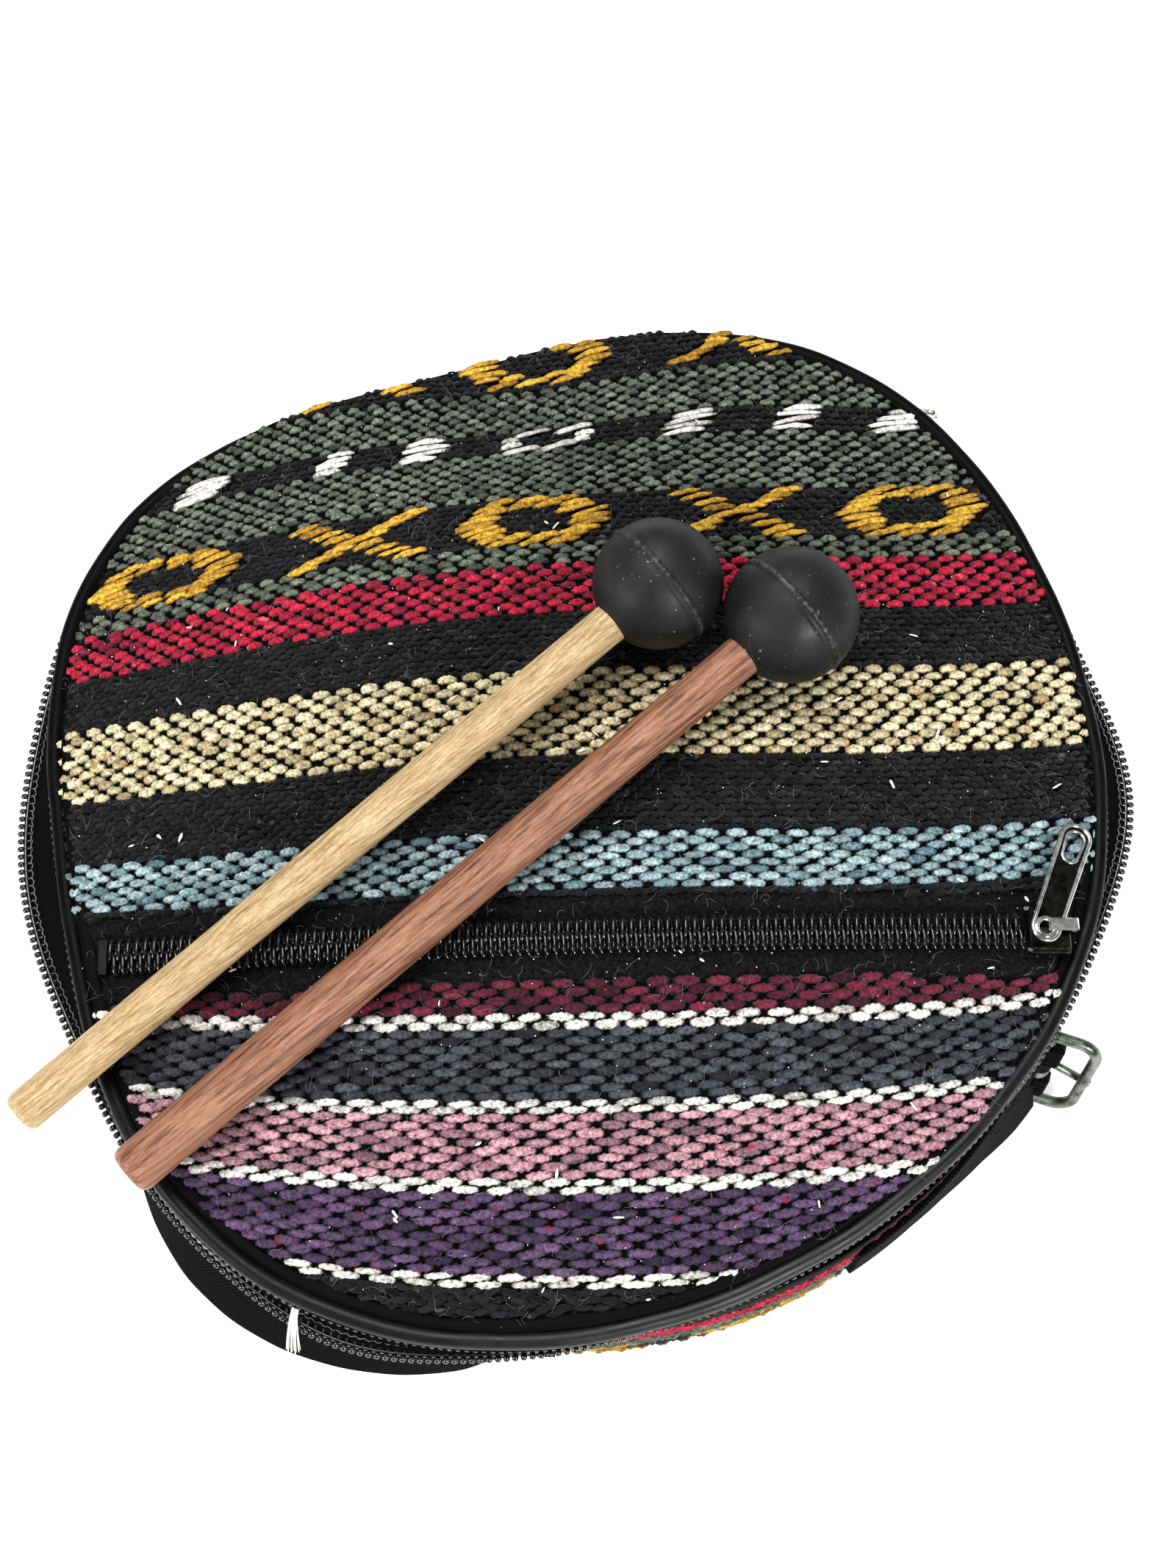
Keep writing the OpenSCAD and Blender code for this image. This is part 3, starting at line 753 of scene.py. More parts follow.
def lid_teeth():
    """Nylon teeth: a bead at the free edge of the tape and a leg that runs back to the stitching."""
    a = spaced_angles(lambda t: rim(t) + flare(t), TOOTH_PITCH * 0.93)
    edge = rim(a) + flare(a)
    out = ring_points(a, 1, -0.15)
    parts = []
    for inward, length, width in ((0.15, 1.15, 1.15), (1.15, 2.1, 0.72)):
        centre = ring_points(a, edge - inward, 42.5)
        parts.append(yarn_floats(centre, out, STRAIGHT_UP, length, width, ply=0, dip=0, flat=0.95)[:2])
    parts.append(tube(ring_points(a, edge - 1.0, 42.4), 0.45, 6, closed=True))
    mesh_object("zip_teeth_lid", *joined(parts), TEETH, "lid", node="lid_zip_coil")
    a = np.linspace(0, 360, 3000, endpoint=False)
    line = ring_points(a, rim(a) + flare(a) - 2.3 + 0.14 * sind(a * 400), 43.4)
    mesh_object("zip_stitch_line", *tube(line, 0.10, 5, closed=True), GREY_THREAD, "lid")
    # Grey dots beside the piping, one per tooth: seam stitches, drawn light grey as painted glints on the
    # teeth.
    a = spaced_angles(rim, TOOTH_PITCH * 0.93)
    stitches = yarn_floats(ring_points(a, rim(a) + 0.12, 46.5), ring_points(a + 90, 1, 0),
                           ring_points(a, 1.0, 0.6), 0.75, 0.36, rings=5, sides=6, dip=0.1)[:2]
    mesh_object("seam_stitches_and_glints_lid", *stitches, GREY_THREAD, "lid")


edge_binding()
piping()
zip_tape()
lid_teeth()

# ---- pocket zip ----

CHAIN_FROM, CHAIN_TO = -82.0, 79.0


def pocket_surface(u, v, lift):
    x, y = from_pocket(u, v)
    return np.stack([x, y, dome_z(x, y) + lift], -1)


def pocket_tapes():
    for name, node, way in (("top", "upper", 1), ("bottom", "lower", -1)):
        u = np.linspace(-93, 93, 260)
        across = np.linspace(0.35, POCKET_HALF + 0.5, 16)
        uu, vv = np.meshgrid(u, across * way, indexing="ij")
        lift = (-1.25 + 0.10 * np.sin(uu / 3.1) * np.sin(vv) + 0.22 * smooth(np.abs(vv), 4.6, 5.2)
                - 0.5 * smooth(np.abs(vv), POCKET_HALF - 0.8, POCKET_HALF + 0.5))
        verts = pocket_surface(uu, vv, lift)
        x, y = verts[..., 0], verts[..., 1]
        verts[..., :2] *= np.minimum(1, (rim(angle_of(x, y)) - BINDING_W + 0.6) / np.hypot(x, y))[..., None]
        verts[..., 2] = dome_z(verts[..., 0], verts[..., 1]) + lift
        verts = verts.reshape(-1, 3)
        quads = grid_quads(len(u), len(across))
        quads = quads if way > 0 else quads[:, ::-1]
        n = len(verts)
        sides = []
        for edge in (np.arange(len(u)) * len(across), np.arange(len(u)) * len(across) + len(across) - 1):
            sides.append(np.stack([edge[:-1], edge[1:], edge[1:] + n, edge[:-1] + n], -1))
        quads = np.concatenate([quads[:, ::-1], quads + n] + sides)
        both = np.concatenate([verts, verts - np.array([0, 0, 0.6])])
        mesh_object("pocket_tape_" + name, both, quads, POCKET_TAPE, "lid", node="pocket_tape_" + node)


def pocket_chain():
    """Two rows of nylon loops that mesh along the middle, and the threads that hold them down."""
    count = int((CHAIN_TO - CHAIN_FROM) / TOOTH_PITCH)
    for name, node, way, shift in (("top", "upper", 1, 0.0), ("bottom", "lower", -1, 0.5)):
        phase = np.linspace(0, count * 2 * np.pi, count * 14 + 1)
        u = CHAIN_FROM + (phase / (2 * np.pi) + shift) * TOOTH_PITCH
        near, far = -0.55, 3.10
        v = way * ((near + far) / 2 - (far - near) / 2 * np.cos(phase))
        lift = -0.02 + 0.70 * np.sin(phase)
        u = u + 0.10 * np.sin(phase * 2)
        fat = 0.35 * (1 + 0.30 * smooth(np.cos(phase), 0.5, 1.0))
        verts, quads = tube(pocket_surface(u, v, lift), fat, 6, ends=False)
        mesh_object("pocket_teeth_" + name, verts, quads, TEETH, "lid", node="pocket_coil_" + node)
        u = CHAIN_FROM + (np.arange(count) + shift + 0.27) * TOOTH_PITCH
        along = ring_points(np.full(count, math.degrees(POCKET_SKEW)), 1, -u / DOME_R)
        threads = []
        for distance, width in ((1.55, 0.30), (2.25, 0.42)):
            centre = pocket_surface(u, way * distance, 0.70)
            threads.append(yarn_floats(centre, along, STRAIGHT_UP, TOOTH_PITCH * 1.05, width,
                                       rings=5, sides=6, dip=0.3)[:2])
        mesh_object("pocket_threads_" + name, *joined(threads), THREAD, "lid")


pocket_tapes()
pocket_chain()

# ---- mallets ----


def mallet_axes(ball, stick):
    """The ball's centre, the direction of the stick, and the distance from that centre to the stick's end."""
    low, high = node_box(ball)
    centre = (low + high) / 2
    heading, tilt, length = stick
    heading, tilt = math.radians(heading), math.radians(tilt)
    axis = np.array([math.cos(heading) * math.cos(tilt), math.sin(heading) * math.cos(tilt), -math.sin(tilt)])
    return centre, axis, length


# Heading and downward tilt in degrees, and length from the ball's centre.
BAMBOO_LIE = (-139.65, 5.59, 143.7)
ROSEWOOD_LIE = (-139.28, 4.26, 149.2)
BAMBOO = mallet_axes("bamboo_ball", BAMBOO_LIE)
ROSEWOOD = mallet_axes("rosewood_ball", ROSEWOOD_LIE)


def axis_frame(axis):
    side = unit(np.cross(axis, np.array([0.0, 0.0, 1.0])))
    return np.stack([axis, side, np.cross(side, axis)], 0)


def rubber_material():
    """Matt black rubber with dusty specks and faint smears."""
    look = Look("black_rubber", specular=0.42)
    smear = look.ramp(look.noise(120, 5, 0.65), (0.35, "#0e0f11"), (0.75, "#1c1d20"))
    dust = look.ramp(look.noise(1150, 2, 0.5), (0.69, 0), (0.74, 1))
    patch = look.ramp(look.noise(85, 2), (0.45, 0.05), (0.65, 0.7))
    chalk = look.ramp(look.noise(900, 4, 0.7), (0.46, 0), (0.64, 0.34))
    colour = look.mix(look.mix(1.0, dust, patch, "MULTIPLY"), smear, rgb("#a9a59c"))
    worn = look.mix(1.0, look.attribute("seam"), chalk, "MULTIPLY")
    look.surface("Base Color", look.mix(worn, colour, rgb("#8f8d88")))
    look.surface("Roughness", look.ramp(look.noise(150, 4), (0.3, 0.42), (0.7, 0.66)))
    look.bump(look.noise(700, 5, 0.65), 0.35, 0.10)
    return look.material


RUBBER = rubber_material()


def rubber_ball(name, mallet, radius, stick_radius, body, node):
    """A moulded ball: a thin seam round its middle and a small collar where the stick goes in."""
    centre, axis, _ = mallet
    rings, sides = 120, 96
    polar = np.linspace(0, np.pi, rings)
    polar = polar + 0.30 * np.sin(2 * polar) / 2
    collar = math.asin((stick_radius + 0.5) / radius)
    polar = np.concatenate([[0.02], polar[1:-4], np.linspace(polar[-5] + 0.03, np.pi - collar, 8)])
    seam = (0.26 * np.exp(-((polar - np.pi / 2) / 0.030) ** 2)
            - 0.14 * np.exp(-((polar - np.pi / 2 - 0.085) / 0.035) ** 2))
    r = radius + seam
    along, out = -r * np.cos(polar), r * np.sin(polar)
    along = np.concatenate([along, [along[-1] - 0.5, along[-1] - 4.0]])
    out = np.concatenate([out, [stick_radius + 0.06, stick_radius + 0.04]])
    phi = np.arange(sides) * 2 * np.pi / sides
    wobble = 1 + 0.0025 * np.sin(3 * phi)
    local = np.stack([np.repeat(along[:, None], sides, 1), out[:, None] * np.cos(phi) * wobble,
                      out[:, None] * np.sin(phi) * wobble], -1)
    verts = centre + local.reshape(-1, 3) @ axis_frame(axis)
    quads = grid_quads(len(along), sides, False, True)
    cap = [[0, k, k + 1, k + 2] for k in range(1, sides - 2, 2)]
    worn = np.exp(-((np.concatenate([polar, [np.pi, np.pi]]) - np.pi / 2) / 0.035) ** 2)
    values = {"seam": np.repeat(worn, sides)}
    mesh_object(name, verts, np.concatenate([quads[:, ::-1], np.array(cap)]), RUBBER, body, values, node=node)


def wood_material(name, light, dark, streak, heading, grain, roughness):
    """Wood with grain running along the stick, which lies at the given heading in plan."""
    look = Look(name, roughness=roughness, specular=0.4)
    along = ((0, 0, -math.radians(heading)), (0.005, 1, 1))
    colour = look.ramp(look.noise(grain, 4, 0.6, along), (0.30, dark), (0.52, light), (0.75, streak))
    fine = look.noise(grain * 5, 5, 0.7, along)
    pores = look.ramp(fine, (0.34, 0.45), (0.50, 1.0), (0.66, 1.25))
    look.surface("Base Color", look.mix(1.0, colour, pores, "MULTIPLY"))
    look.bump(fine, 0.45, 0.12)
    return look.material


def stick(name, mallet, radii, body, node, material, flats):
    """A whittled stick from inside the ball to its tail, with a softened end and slight flats."""
    centre, axis, length = mallet
    start = -3.0
    rounding = np.linspace(0.1, np.pi / 2, 6)
    s = np.concatenate([np.linspace(start, length - 1.4, 90), length - 1.4 + 1.4 * np.sin(rounding)])
    base = np.interp(s, [0, 25, length], radii)
    base = base * (1 - 0.010 * np.sin(s / 9.0) ** 2)
    base[-6:] *= np.cos(rounding) * 0.32 + 0.66
    sides = 56
    phi = np.arange(sides) * 2 * np.pi / sides
    facet = 1 - flats * (0.5 + 0.5 * np.cos(phi * 5 + 0.6)) - flats * 0.5 * (0.5 + 0.5 * np.cos(phi * 13 + 2))
    bend = 0.25 * np.sin(np.pi * (s - start) / (length - start))
    thick = base[:, None] * facet
    local = np.stack([np.repeat(s[:, None], sides, 1), thick * np.cos(phi) + bend[:, None] * 0.5,
                      thick * np.sin(phi)], -1)
    verts = centre + local.reshape(-1, 3) @ axis_frame(axis)
    quads = grid_quads(len(s), sides, False, True)[:, ::-1]
    last = (len(s) - 1) * sides
    cap = np.array([[last, last + k, last + k + 1, last + k + 2] for k in range(1, sides - 2, 2)])
    mesh_object(name, verts, np.concatenate([quads, cap]), material, body, node=node)


def mallets():
    bamboo = wood_material("bamboo_wood", "#bba179", "#8c7042", "#d2c09f", BAMBOO_LIE[0], 2200, 0.5)
    rosewood = wood_material("rosewood", "#966950", "#43231a", "#a9826a", ROSEWOOD_LIE[0], 1700, 0.45)
    rubber_ball("mallet_ball_left", BAMBOO, 11.7, 3.75, "bamboo_mallet", "bamboo_ball")
    rubber_ball("mallet_ball_right", ROSEWOOD, 12.1, 3.85, "rosewood_mallet", "rosewood_ball")
    stick("mallet_stick_left", BAMBOO, [3.75, 3.75, 3.75], "bamboo_mallet", "bamboo_stick", bamboo, 0.035)
    stick("mallet_stick_right", ROSEWOOD, [3.85, 3.85, 4.4], "rosewood_mallet", "rosewood_stick", rosewood,
          0.006)


mallets()

# ---- pull of the pocket zip ----

SLIDER_X = 82.0
BAIL_LIFT = 4.6
ARC_R = math.sqrt(DOME_R ** 2 - POCKET_Y ** 2)


def chrome_material(name, light, dark, roughness):
    """Plated metal with faint wear and fine scratches."""
    look = Look(name, metallic=1.0)
    look.surface("IOR", 2.0)
    wear = look.noise(420, 4, 0.6)
    look.surface("Base Color", look.ramp(wear, (0.35, dark), (0.6, light)))
    look.surface("Roughness", look.ramp(wear, (0.3, roughness), (0.7, roughness * 1.8)))
    look.bump(look.noise(900, 3), 0.25, 0.05)
    return look.material


CHROME = chrome_material("bright_plate", "#ecece9", "#a9a9a4", 0.10)
# Dark plate: the slider body is dark metal, while on the pull's sunk panel the darkness is a painted dark
# reflection.
DARK_PLATE_AND_PAINTED_REFLECTION = chrome_material("dark_plate_and_painted_reflection", "#34342f", "#1d1d1b", 0.22)
NICKEL = chrome_material("worn_nickel", "#8d918b", "#454943", 0.30)


def on_pocket_zip(points, along):
    """Takes points beside the slider, with Z above the dome, into the row frame."""
    tilt = math.asin(along / ARC_R)
    x, y, z = np.asarray(points, float).T
    across = x * math.cos(tilt) + (z + ARC_R) * math.sin(tilt)
    high = (z + ARC_R) * math.cos(tilt) - x * math.sin(tilt)
    px, py = from_pocket(across, y)
    return np.stack([px, py, DOME_TOP - DOME_R + high], -1)


def egg_outline(near_r, near_y, far_r, far_y, steps=28):
    """Outline round two circles, wide at the far end."""
    lean = math.asin((far_r - near_r) / (far_y - near_y))
    far = np.linspace(-lean, np.pi + lean, steps)
    near = np.linspace(np.pi + lean, 2 * np.pi - lean, steps)
    points = [(far_r * np.cos(t), far_y + far_r * np.sin(t)) for t in far]
    points += [(near_r * np.cos(t), near_y + near_r * np.sin(t)) for t in near]
    return np.array(points)


def pocket_pull():
    """A pull with a raised rim, a window at its far end, a plain sunk panel darkened as a painted dark
    reflection, and an eye for the bail.
    """
    yaw, drop = math.radians(-25), math.radians(-7.5)

    def plate(points):
        x, y, z = np.asarray(points, float).T
        y, z = y * math.cos(drop) - z * math.sin(drop), y * math.sin(drop) + z * math.cos(drop)
        x, y = x * math.cos(yaw) - y * math.sin(yaw), x * math.sin(yaw) + y * math.cos(yaw)
        return on_pocket_zip(np.stack([x - 1.2, y - 0.5, z + BAIL_LIFT], -1), SLIDER_X)

    def flat_path(outline, z=0.0):
        return np.column_stack([outline, np.full(len(outline), z)])

    parts, panel = [], []
    eye = egg_outline(1.60, -0.1, 1.60, 0.1)
    window = egg_outline(1.45, 15.4, 1.75, 18.8)
    for outline, thickness in ((egg_outline(2.35, 0, 2.60, 19.1), 0.44), (window, 0.30), (eye, 0.50)):
        verts, quads = tube(flat_path(outline), thickness, 10, closed=True)
        parts.append((plate(verts), quads))
    outer = egg_outline(1.90, 3.3, 2.45, 19.1)
    for z, way in ((0.18, 1), (-0.28, -1)):
        loop = np.concatenate([flat_path(outer, z), flat_path(window, z)])
        n = len(outer)
        i = np.arange(n)
        band = np.stack([i, (i + 1) % n, (i + 1) % n + n, i + n], -1)[:, ::way]
        panel.append((plate(loop), band))
    mesh_object("pocket_pull_rim", *joined(parts), CHROME, "pocket_pull", node="pocket_pull")
    # The sunk panel is darkened as a painted dark reflection.
    mesh_object("pocket_pull_panel", *joined(panel), DARK_PLATE_AND_PAINTED_REFLECTION, "pocket_pull")


def pocket_slider():
    """The slider's dark body with bright edges that are painted glints, and the flat bail that carries the
    pull.
    """
    body, bright = [], []
    body.append(box_rounded((7.4, 7.6, 0.9), (0.4, 0, 1.8), 0.35))
    for way in (-1, 1):
        body.append(box_rounded((7.4, 0.8, 1.6), (0.4, 3.9 * way, 0.85), 0.25))
        # Painted glints: small bright blocks at the body's front corners.
        bright.append(box_rounded((0.9, 0.7, 0.8), (-3.4, 3.7 * way, 1.7), 0.2))
        bright.append(box_rounded((1.1, 2.2, 2.6), (2.0 * way + 2.1, 0, 3.2), 0.3))
    bright.append(box_rounded((5.2, 2.3, 1.0), (2.1, 0, 4.9), 0.35))
    for name, found, material in (("pocket_slider_body", body, DARK_PLATE_AND_PAINTED_REFLECTION),
                                  ("pocket_slider_bail_and_glints", bright, CHROME)):
        verts, quads = joined(found)
        piece = mesh_object(name, on_pocket_zip(verts, SLIDER_X), quads, material, "pocket_slider",
                            smooth_shade=False)
    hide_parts("pocket_slider")


pocket_pull()
pocket_slider()

# ---- wall of the case ----

# Heights of the rows of floats on the wall.
WALL_ROWS = {"green": [2.2, 9.6, 10.8, 12.0, 13.2, 14.4, 15.6], "red": [17.4, 18.7, 20.0, 21.3, 22.6, 23.9]}


def wall_floats(rows, lean, width, depth, hole=0.7, small=False):
    """Floats on the outside of the wall: rows holds (place in mm of arc, height, length) triples."""
    arc, height, length = np.array(rows).T
    a = arc / CASE_R
    radius = CASE_R + depth
    centre = np.stack([radius * np.cos(a), radius * np.sin(a), height], -1)
    along = np.stack([-np.sin(a) * np.cos(lean), np.cos(a) * np.cos(lean), np.full(len(a), np.sin(lean))], -1)
    normal = np.stack([np.cos(a), np.sin(a), 0 * a], -1)
    rings, sides = (5, 6) if small else (7, 8)
    widths = width * rng.normal(1, 0.07, len(a))
    return yarn_floats(centre, along, normal, length - hole, widths, rings=rings, sides=sides, dip=0.6)


def wall_weave():
    around = 2 * np.pi * CASE_R
    count = int(around / 3.9)
    pitch = around / count
    for yarn, heights in WALL_ROWS.items():
        rows = [((k + 0.5 * (row % 2)) * pitch + rng.normal(0, 0.1), z + rng.normal(0, 0.06), pitch)
                for row, z in enumerate(heights) for k in range(count)]
        verts, quads, tint_and_shade = wall_floats(rows, math.radians(7), 1.4, 0.05)
        mesh_object("wall_weave_" + yarn, verts, quads, yarns[yarn], "case", {"tint_and_shade": tint_and_shade})
    count *= 2
    pitch = around / count
    rows, gold = [], []
    for row, z in enumerate(list(np.arange(3.3, 9.0, 1.1)) + list(np.arange(25.1, 33.2, 1.15))):
        t = (z - 6.0) / 3.0
        for k in range(count):
            arc = (k + 0.5 * (row % 2)) * pitch
            step = round(arc / 36.5)
            away = np.array([arc - step * 36.5])
            middle, kind = (-7.4, "ring") if step % 2 else (30.6, "cross")
            on = abs(t) <= 1 and bool(gold_at(away + middle, t)[0]) and abs(away[0]) < 16
            (gold if on else rows).append((arc, z, pitch))
    verts, quads, tint_and_shade = wall_floats(rows, math.radians(7), 1.3, -0.15, 0.1, small=True)
    mesh_object("wall_weave_black", verts, quads, yarns["black"], "case", {"tint_and_shade": tint_and_shade})
    gold = [(arc, z, 3.6) for arc, z, _ in gold]
    verts, quads, tint_and_shade = wall_floats(gold, math.radians(12), 1.25, 0.12, 0.1, small=True)
    mesh_object("wall_weave_gold", verts, quads, yarns["gold"], "case", {"tint_and_shade": tint_and_shade})


def ring_piece(name, points, material, node, ripple=0.0, waves=17):
    """A ring with the given cross-section of (radius, height) points, slightly wavy if asked."""
    def profile(a):
        shift = ripple * sind(a * waves) + ripple * 0.6 * sind(a * 7 + 40)
        return np.stack([np.stack([np.full(len(a), r) + shift, np.full(len(a), z) + shift * 0.3], -1)
                         for r, z in points], 1)

    return mesh_object(name, *lofted(profile, 300), material, "case", node=node)


def disc_piece(name, radius, low, high, material, node):
    """A closed disc with a rounded edge."""
    r = np.array([0.5, radius * 0.3, radius * 0.6, radius * 0.85, radius - 0.5, radius, radius, radius - 0.5,
                  radius * 0.6, 0.5])
    edge = min(0.4, (high - low) / 3)
    z = np.array([high, high, high, high, high, high - edge, low + edge, low, low, low])
    verts, quads = lofted(lambda a: np.tile(np.stack([r, z], -1), (len(a), 1, 1)), 120)
    return mesh_object(name, verts, quads, material, "case", node=node)


FOAM = plain_material("foam_wadding", "#3f3f42", "#2b2b2e", 700, 0.95, 900, 0.3, specular=0.1)
LINING = plain_material("black_lining", "#1d1e22", "#0c0c0e", 1500, 0.8, 2300, 0.12, specular=0.2, sheen=0.1)
WARP_CLOTH = bpy.data.materials["warp_black"]


def wall_and_back():
    outer, core, inner, top = CASE_R - 0.25, CASE_R - 1.8, CASE_R - 6, 33.4
    section = [(outer, 2.3), (outer, 18), (outer, top), (core + 0.1, top), (core + 0.1, 2.3)]
    wall = ring_piece("wall_cloth", section, WARP_CLOTH, "gusset_wall", 0.05)
    section = [(core, 2.4), (core, top), (inner + 0.1, top), (inner + 0.1, 2.4)]
    wall_foam = ring_piece("wall_foam", section, FOAM, "gusset_padding")
    section = [(inner, 7.2), (inner, top), (inner - 0.75, 33.2), (inner - 0.75, 7.2)]
    lining = ring_piece("wall_lining", section, LINING, "gusset_lining", 0.06, 31)
    back = disc_piece("back_cloth", CASE_R - 0.4, 0.75, 2.1, WARP_CLOTH, "back_panel")
    back_foam = disc_piece("back_foam", inner - 0.2, 2.25, 6.9, FOAM, "back_padding")
    floor_lining = disc_piece("floor_lining", inner - 0.9, 7.0, 7.75, LINING, "back_lining")
    section = [(CASE_R, 33.5), (CASE_R - 0.1, 34.4), (CASE_R - 3.4, 34.5), (inner - 0.7, 34.3),
               (inner - 0.7, 33.5)]
    ring_piece("wall_top_tape", section, TAPE, "rim_binding", 0.05, 29)
    section = [(CASE_R + 0.05, 27.2), (CASE_R + 0.45, 27.3), (CASE_R + 0.48, 31.5), (CASE_R + 0.45, 35.9),
               (CASE_R + 0.1, 36.0)]
    ring_piece("body_tape", section, TAPE, "body_zip_tape", 0.06, 23)
    a, path = ring_path(lambda t: np.full(len(t), CASE_R - 0.7), 1.5, 300)
    mesh_object("back_cord", *tube(path, 0.6, 12, closed=True), TAPE, "case", node="back_piping")
    verts, quads = coil(lambda t: CASE_R + 0.62 - 1.9 * hump(t, 308, 26), 37.1, TOOTH_PITCH, 0.62, 0.33,
                        115, 425)
    mesh_object("body_teeth", verts, quads, DULL_TEETH, "case", node="body_zip_coil")


def back_weave():
    """The same cloth under the case, in broad stripes."""
    order = ["green", "red", "cream", "black", "light_blue", "charcoal", "pink", "purple"]
    edges = np.linspace(-92.5, 92.5, 15)
    for index, yarn in enumerate(order):
        rows = []
        for band in range(index, 14, len(order)):
            low, high = edges[band], edges[band + 1]
            for k, y in enumerate(np.arange(low + 0.7, high, 1.4)):
                x = np.arange(-95, 95, 4.6) + 2.3 * (k % 2)
                rows += [(a, y) for a in x + rng.normal(0, 0.1, len(x)) if math.hypot(a, y) < CASE_R - 2.6]
        x, y = np.array(rows).T
        n = len(x)
        lean = math.radians(7) + rng.normal(0, 0.05, n)
        centre = np.stack([x, y, np.full(n, 0.72)], -1)
        along = np.stack([np.cos(lean), np.sin(lean), 0 * x], -1)
        verts, quads, tint_and_shade = yarn_floats(centre, along, (0.0, 0.0, -1.0), 3.9, 1.5, rings=5, sides=6, dip=0.5)
        mesh_object("back_weave_" + yarn, verts, quads, yarns[yarn], "case", {"tint_and_shade": tint_and_shade})


def hinge_cloth():
    """The cloth strip that folds where the lid meets the body."""
    a = np.linspace(66.5, 113.5, 60)
    heights = [(94.15, 27.2), (94.25, 33), (94.3, 37.0), (94.3, 39.0), (94.2, 40.6), (94.0, 42.2)]
    reach = np.array([[min(r, rim(t) + 1.5) if z > 38 else r for r, z in heights] for t in a])
    reach += 0.10 * sind(a * 9)[:, None]
    front = ring_points(a[:, None], reach, [z for _, z in heights])
    piece = mesh_object("hinge_cloth", *slab(front, front - ring_points(a, 0.7, 0)[:, None]), TAPE, None)
    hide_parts("hinge_spine")
    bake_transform(piece)


wall_weave()
wall_and_back()
back_weave()
hinge_cloth()

# ---- inside of the lid ----


def lid_slab(name, low, high, margin, material, node):
    """A closed slab that follows the lid's outline, between two heights given as functions of the radius."""
    a = np.linspace(0, 360, 160, endpoint=False)
    share = np.concatenate([[0.001, 0.012], np.sin(np.linspace(0.12, np.pi / 2, 10))])
    r = (rim(a) - margin)[:, None] * share[None]
    upper, lower = (ring_points(a[:, None], r, surface(r)) for surface in (high, low))
    verts = np.concatenate([upper, lower[:, ::-1]], 1).reshape(-1, 3)
    quads = grid_quads(len(a), 2 * len(share), True, True)
    return mesh_object(name, verts, quads, material, "lid", node=node)


def lid_inside():
    lining = lid_slab("lid_lining_cloth", lambda r: 41.2, lambda r: 41.95, BINDING_W, LINING, "lid_lining")
    foam = lid_slab("lid_foam", lambda r: 42.05, lambda r: dome_z(r) - 2.75, BINDING_W + 1.0, FOAM,
                    "lid_padding")
    bag = lid_slab("pocket_lining", lambda r: dome_z(r) - 2.65, lambda r: dome_z(r) - 2.3, BINDING_W + 0.3,
                   LINING, "pocket_bag")


lid_inside()

# ---- strap ----

# The strap's path in plan, as (angle, radius) points.
TONGUE = [(268, 93.85), (264, 93.95), (261, 95.4), (258, 98.4), (252, 102.2), (246, 105.0), (240, 107.0),
          (234, 107.8), (228, 107.2), (222, 104.8), (217, 101.8), (212, 98.8), (207, 97.0)]
BUCKLE_END = [(303, 93.85), (307, 93.95), (312, 94.1), (317, 94.7), (323, 96.2), (328, 98.3), (331.6, 99.3)]
STRAP_LOW, STRAP_HIGH = 4.4, 24.2
STRAP_HALF = 0.72
LYING_R = 93.9
# Middle and direction of the buckle's bar.
BAR = np.array([87.6, -41.5, 13])
BAR_WAY = np.array([0.106, 0.263, 0.959])
RIB_TURN, RIB_PITCH = 4.95, 0.85


def webbing_material():
    """Black herringbone webbing: slanting ribs that change direction every few millimetres."""
    look = Look("herringbone_webbing", roughness=0.8, specular=0.10)

    def compute(kind, first, second):
        node = look.node("Math", (0, first), (1, second))
        node.operation = kind
        return node.outputs[0]

    zigzag = compute("PINGPONG", look.attribute("rise"), RIB_TURN)
    slant = compute("ADD", compute("MULTIPLY", zigzag, 0.9), look.attribute("run"))
    ribs = compute("SINE", compute("MULTIPLY", slant, 2 * math.pi / RIB_PITCH), 0.0)
    height = compute("MULTIPLY_ADD", ribs, 0.5)
    look.surface("Base Color", look.ramp(height, (0.1, "#020203"), (0.7, "#121214")))
    look.bump(height, 1.0, 0.40)
    return look.material


WEBBING = webbing_material()


def lean_in(radius, z):
    """How far the strap leans to the wall at the height z where it bows out to the radius."""
    return np.maximum(radius - LYING_R, 0) * (z - STRAP_LOW) / (STRAP_HIGH - STRAP_LOW)


def strap(name, turns, node):
    """A strip of webbing on edge, along points given as (angle, radius), with rounded edges."""
    angle, radius = np.array(turns, float).T
    s = np.linspace(0, 1, 90)
    knots = np.linspace(0, 1, len(turns))
    a, r = np.interp(s, knots, angle), np.interp(s, knots, radius)
    for _ in range(3):
        a[1:-1] = (a[:-2] + 2 * a[1:-1] + a[2:]) / 4
        r[1:-1] = (r[:-2] + 2 * r[1:-1] + r[2:]) / 4
    path = ring_points(a, r, 0)[:, :2]
    way = unit(np.gradient(path, axis=0))
    out = np.stack([way[:, 1], -way[:, 0]], -1)
    out *= np.sign((out * path).sum(1))[:, None]
    run = run_along(path)
    levels = np.linspace(STRAP_LOW + 0.4, STRAP_HIGH - 0.4, 24)
    ring = [(STRAP_HALF, z) for z in levels] + [(0.4, STRAP_HIGH), (-0.4, STRAP_HIGH)]
    ring += [(-STRAP_HALF, z) for z in levels[::-1]] + [(-0.4, STRAP_LOW), (0.4, STRAP_LOW)]
    verts = np.array([[(*(p + o * (t - lean_in(stand, z))), z) for t, z in ring]
                      for p, o, stand in zip(path, out, r)]).reshape(-1, 3)
    m, n = len(ring), len(path)
    quads = list(grid_quads(n, m, False, True))
    for base in (0, (n - 1) * m):
        quads += [[base + k, base + k + 1, base + m - 4 - k, base + m - 3 - k] for k in range(24)]
    values = {"run": np.repeat(run, m), "rise": np.tile([z for _, z in ring], n)}
    mesh_object(name, verts, np.array(quads), WEBBING, "case", values, node=node)


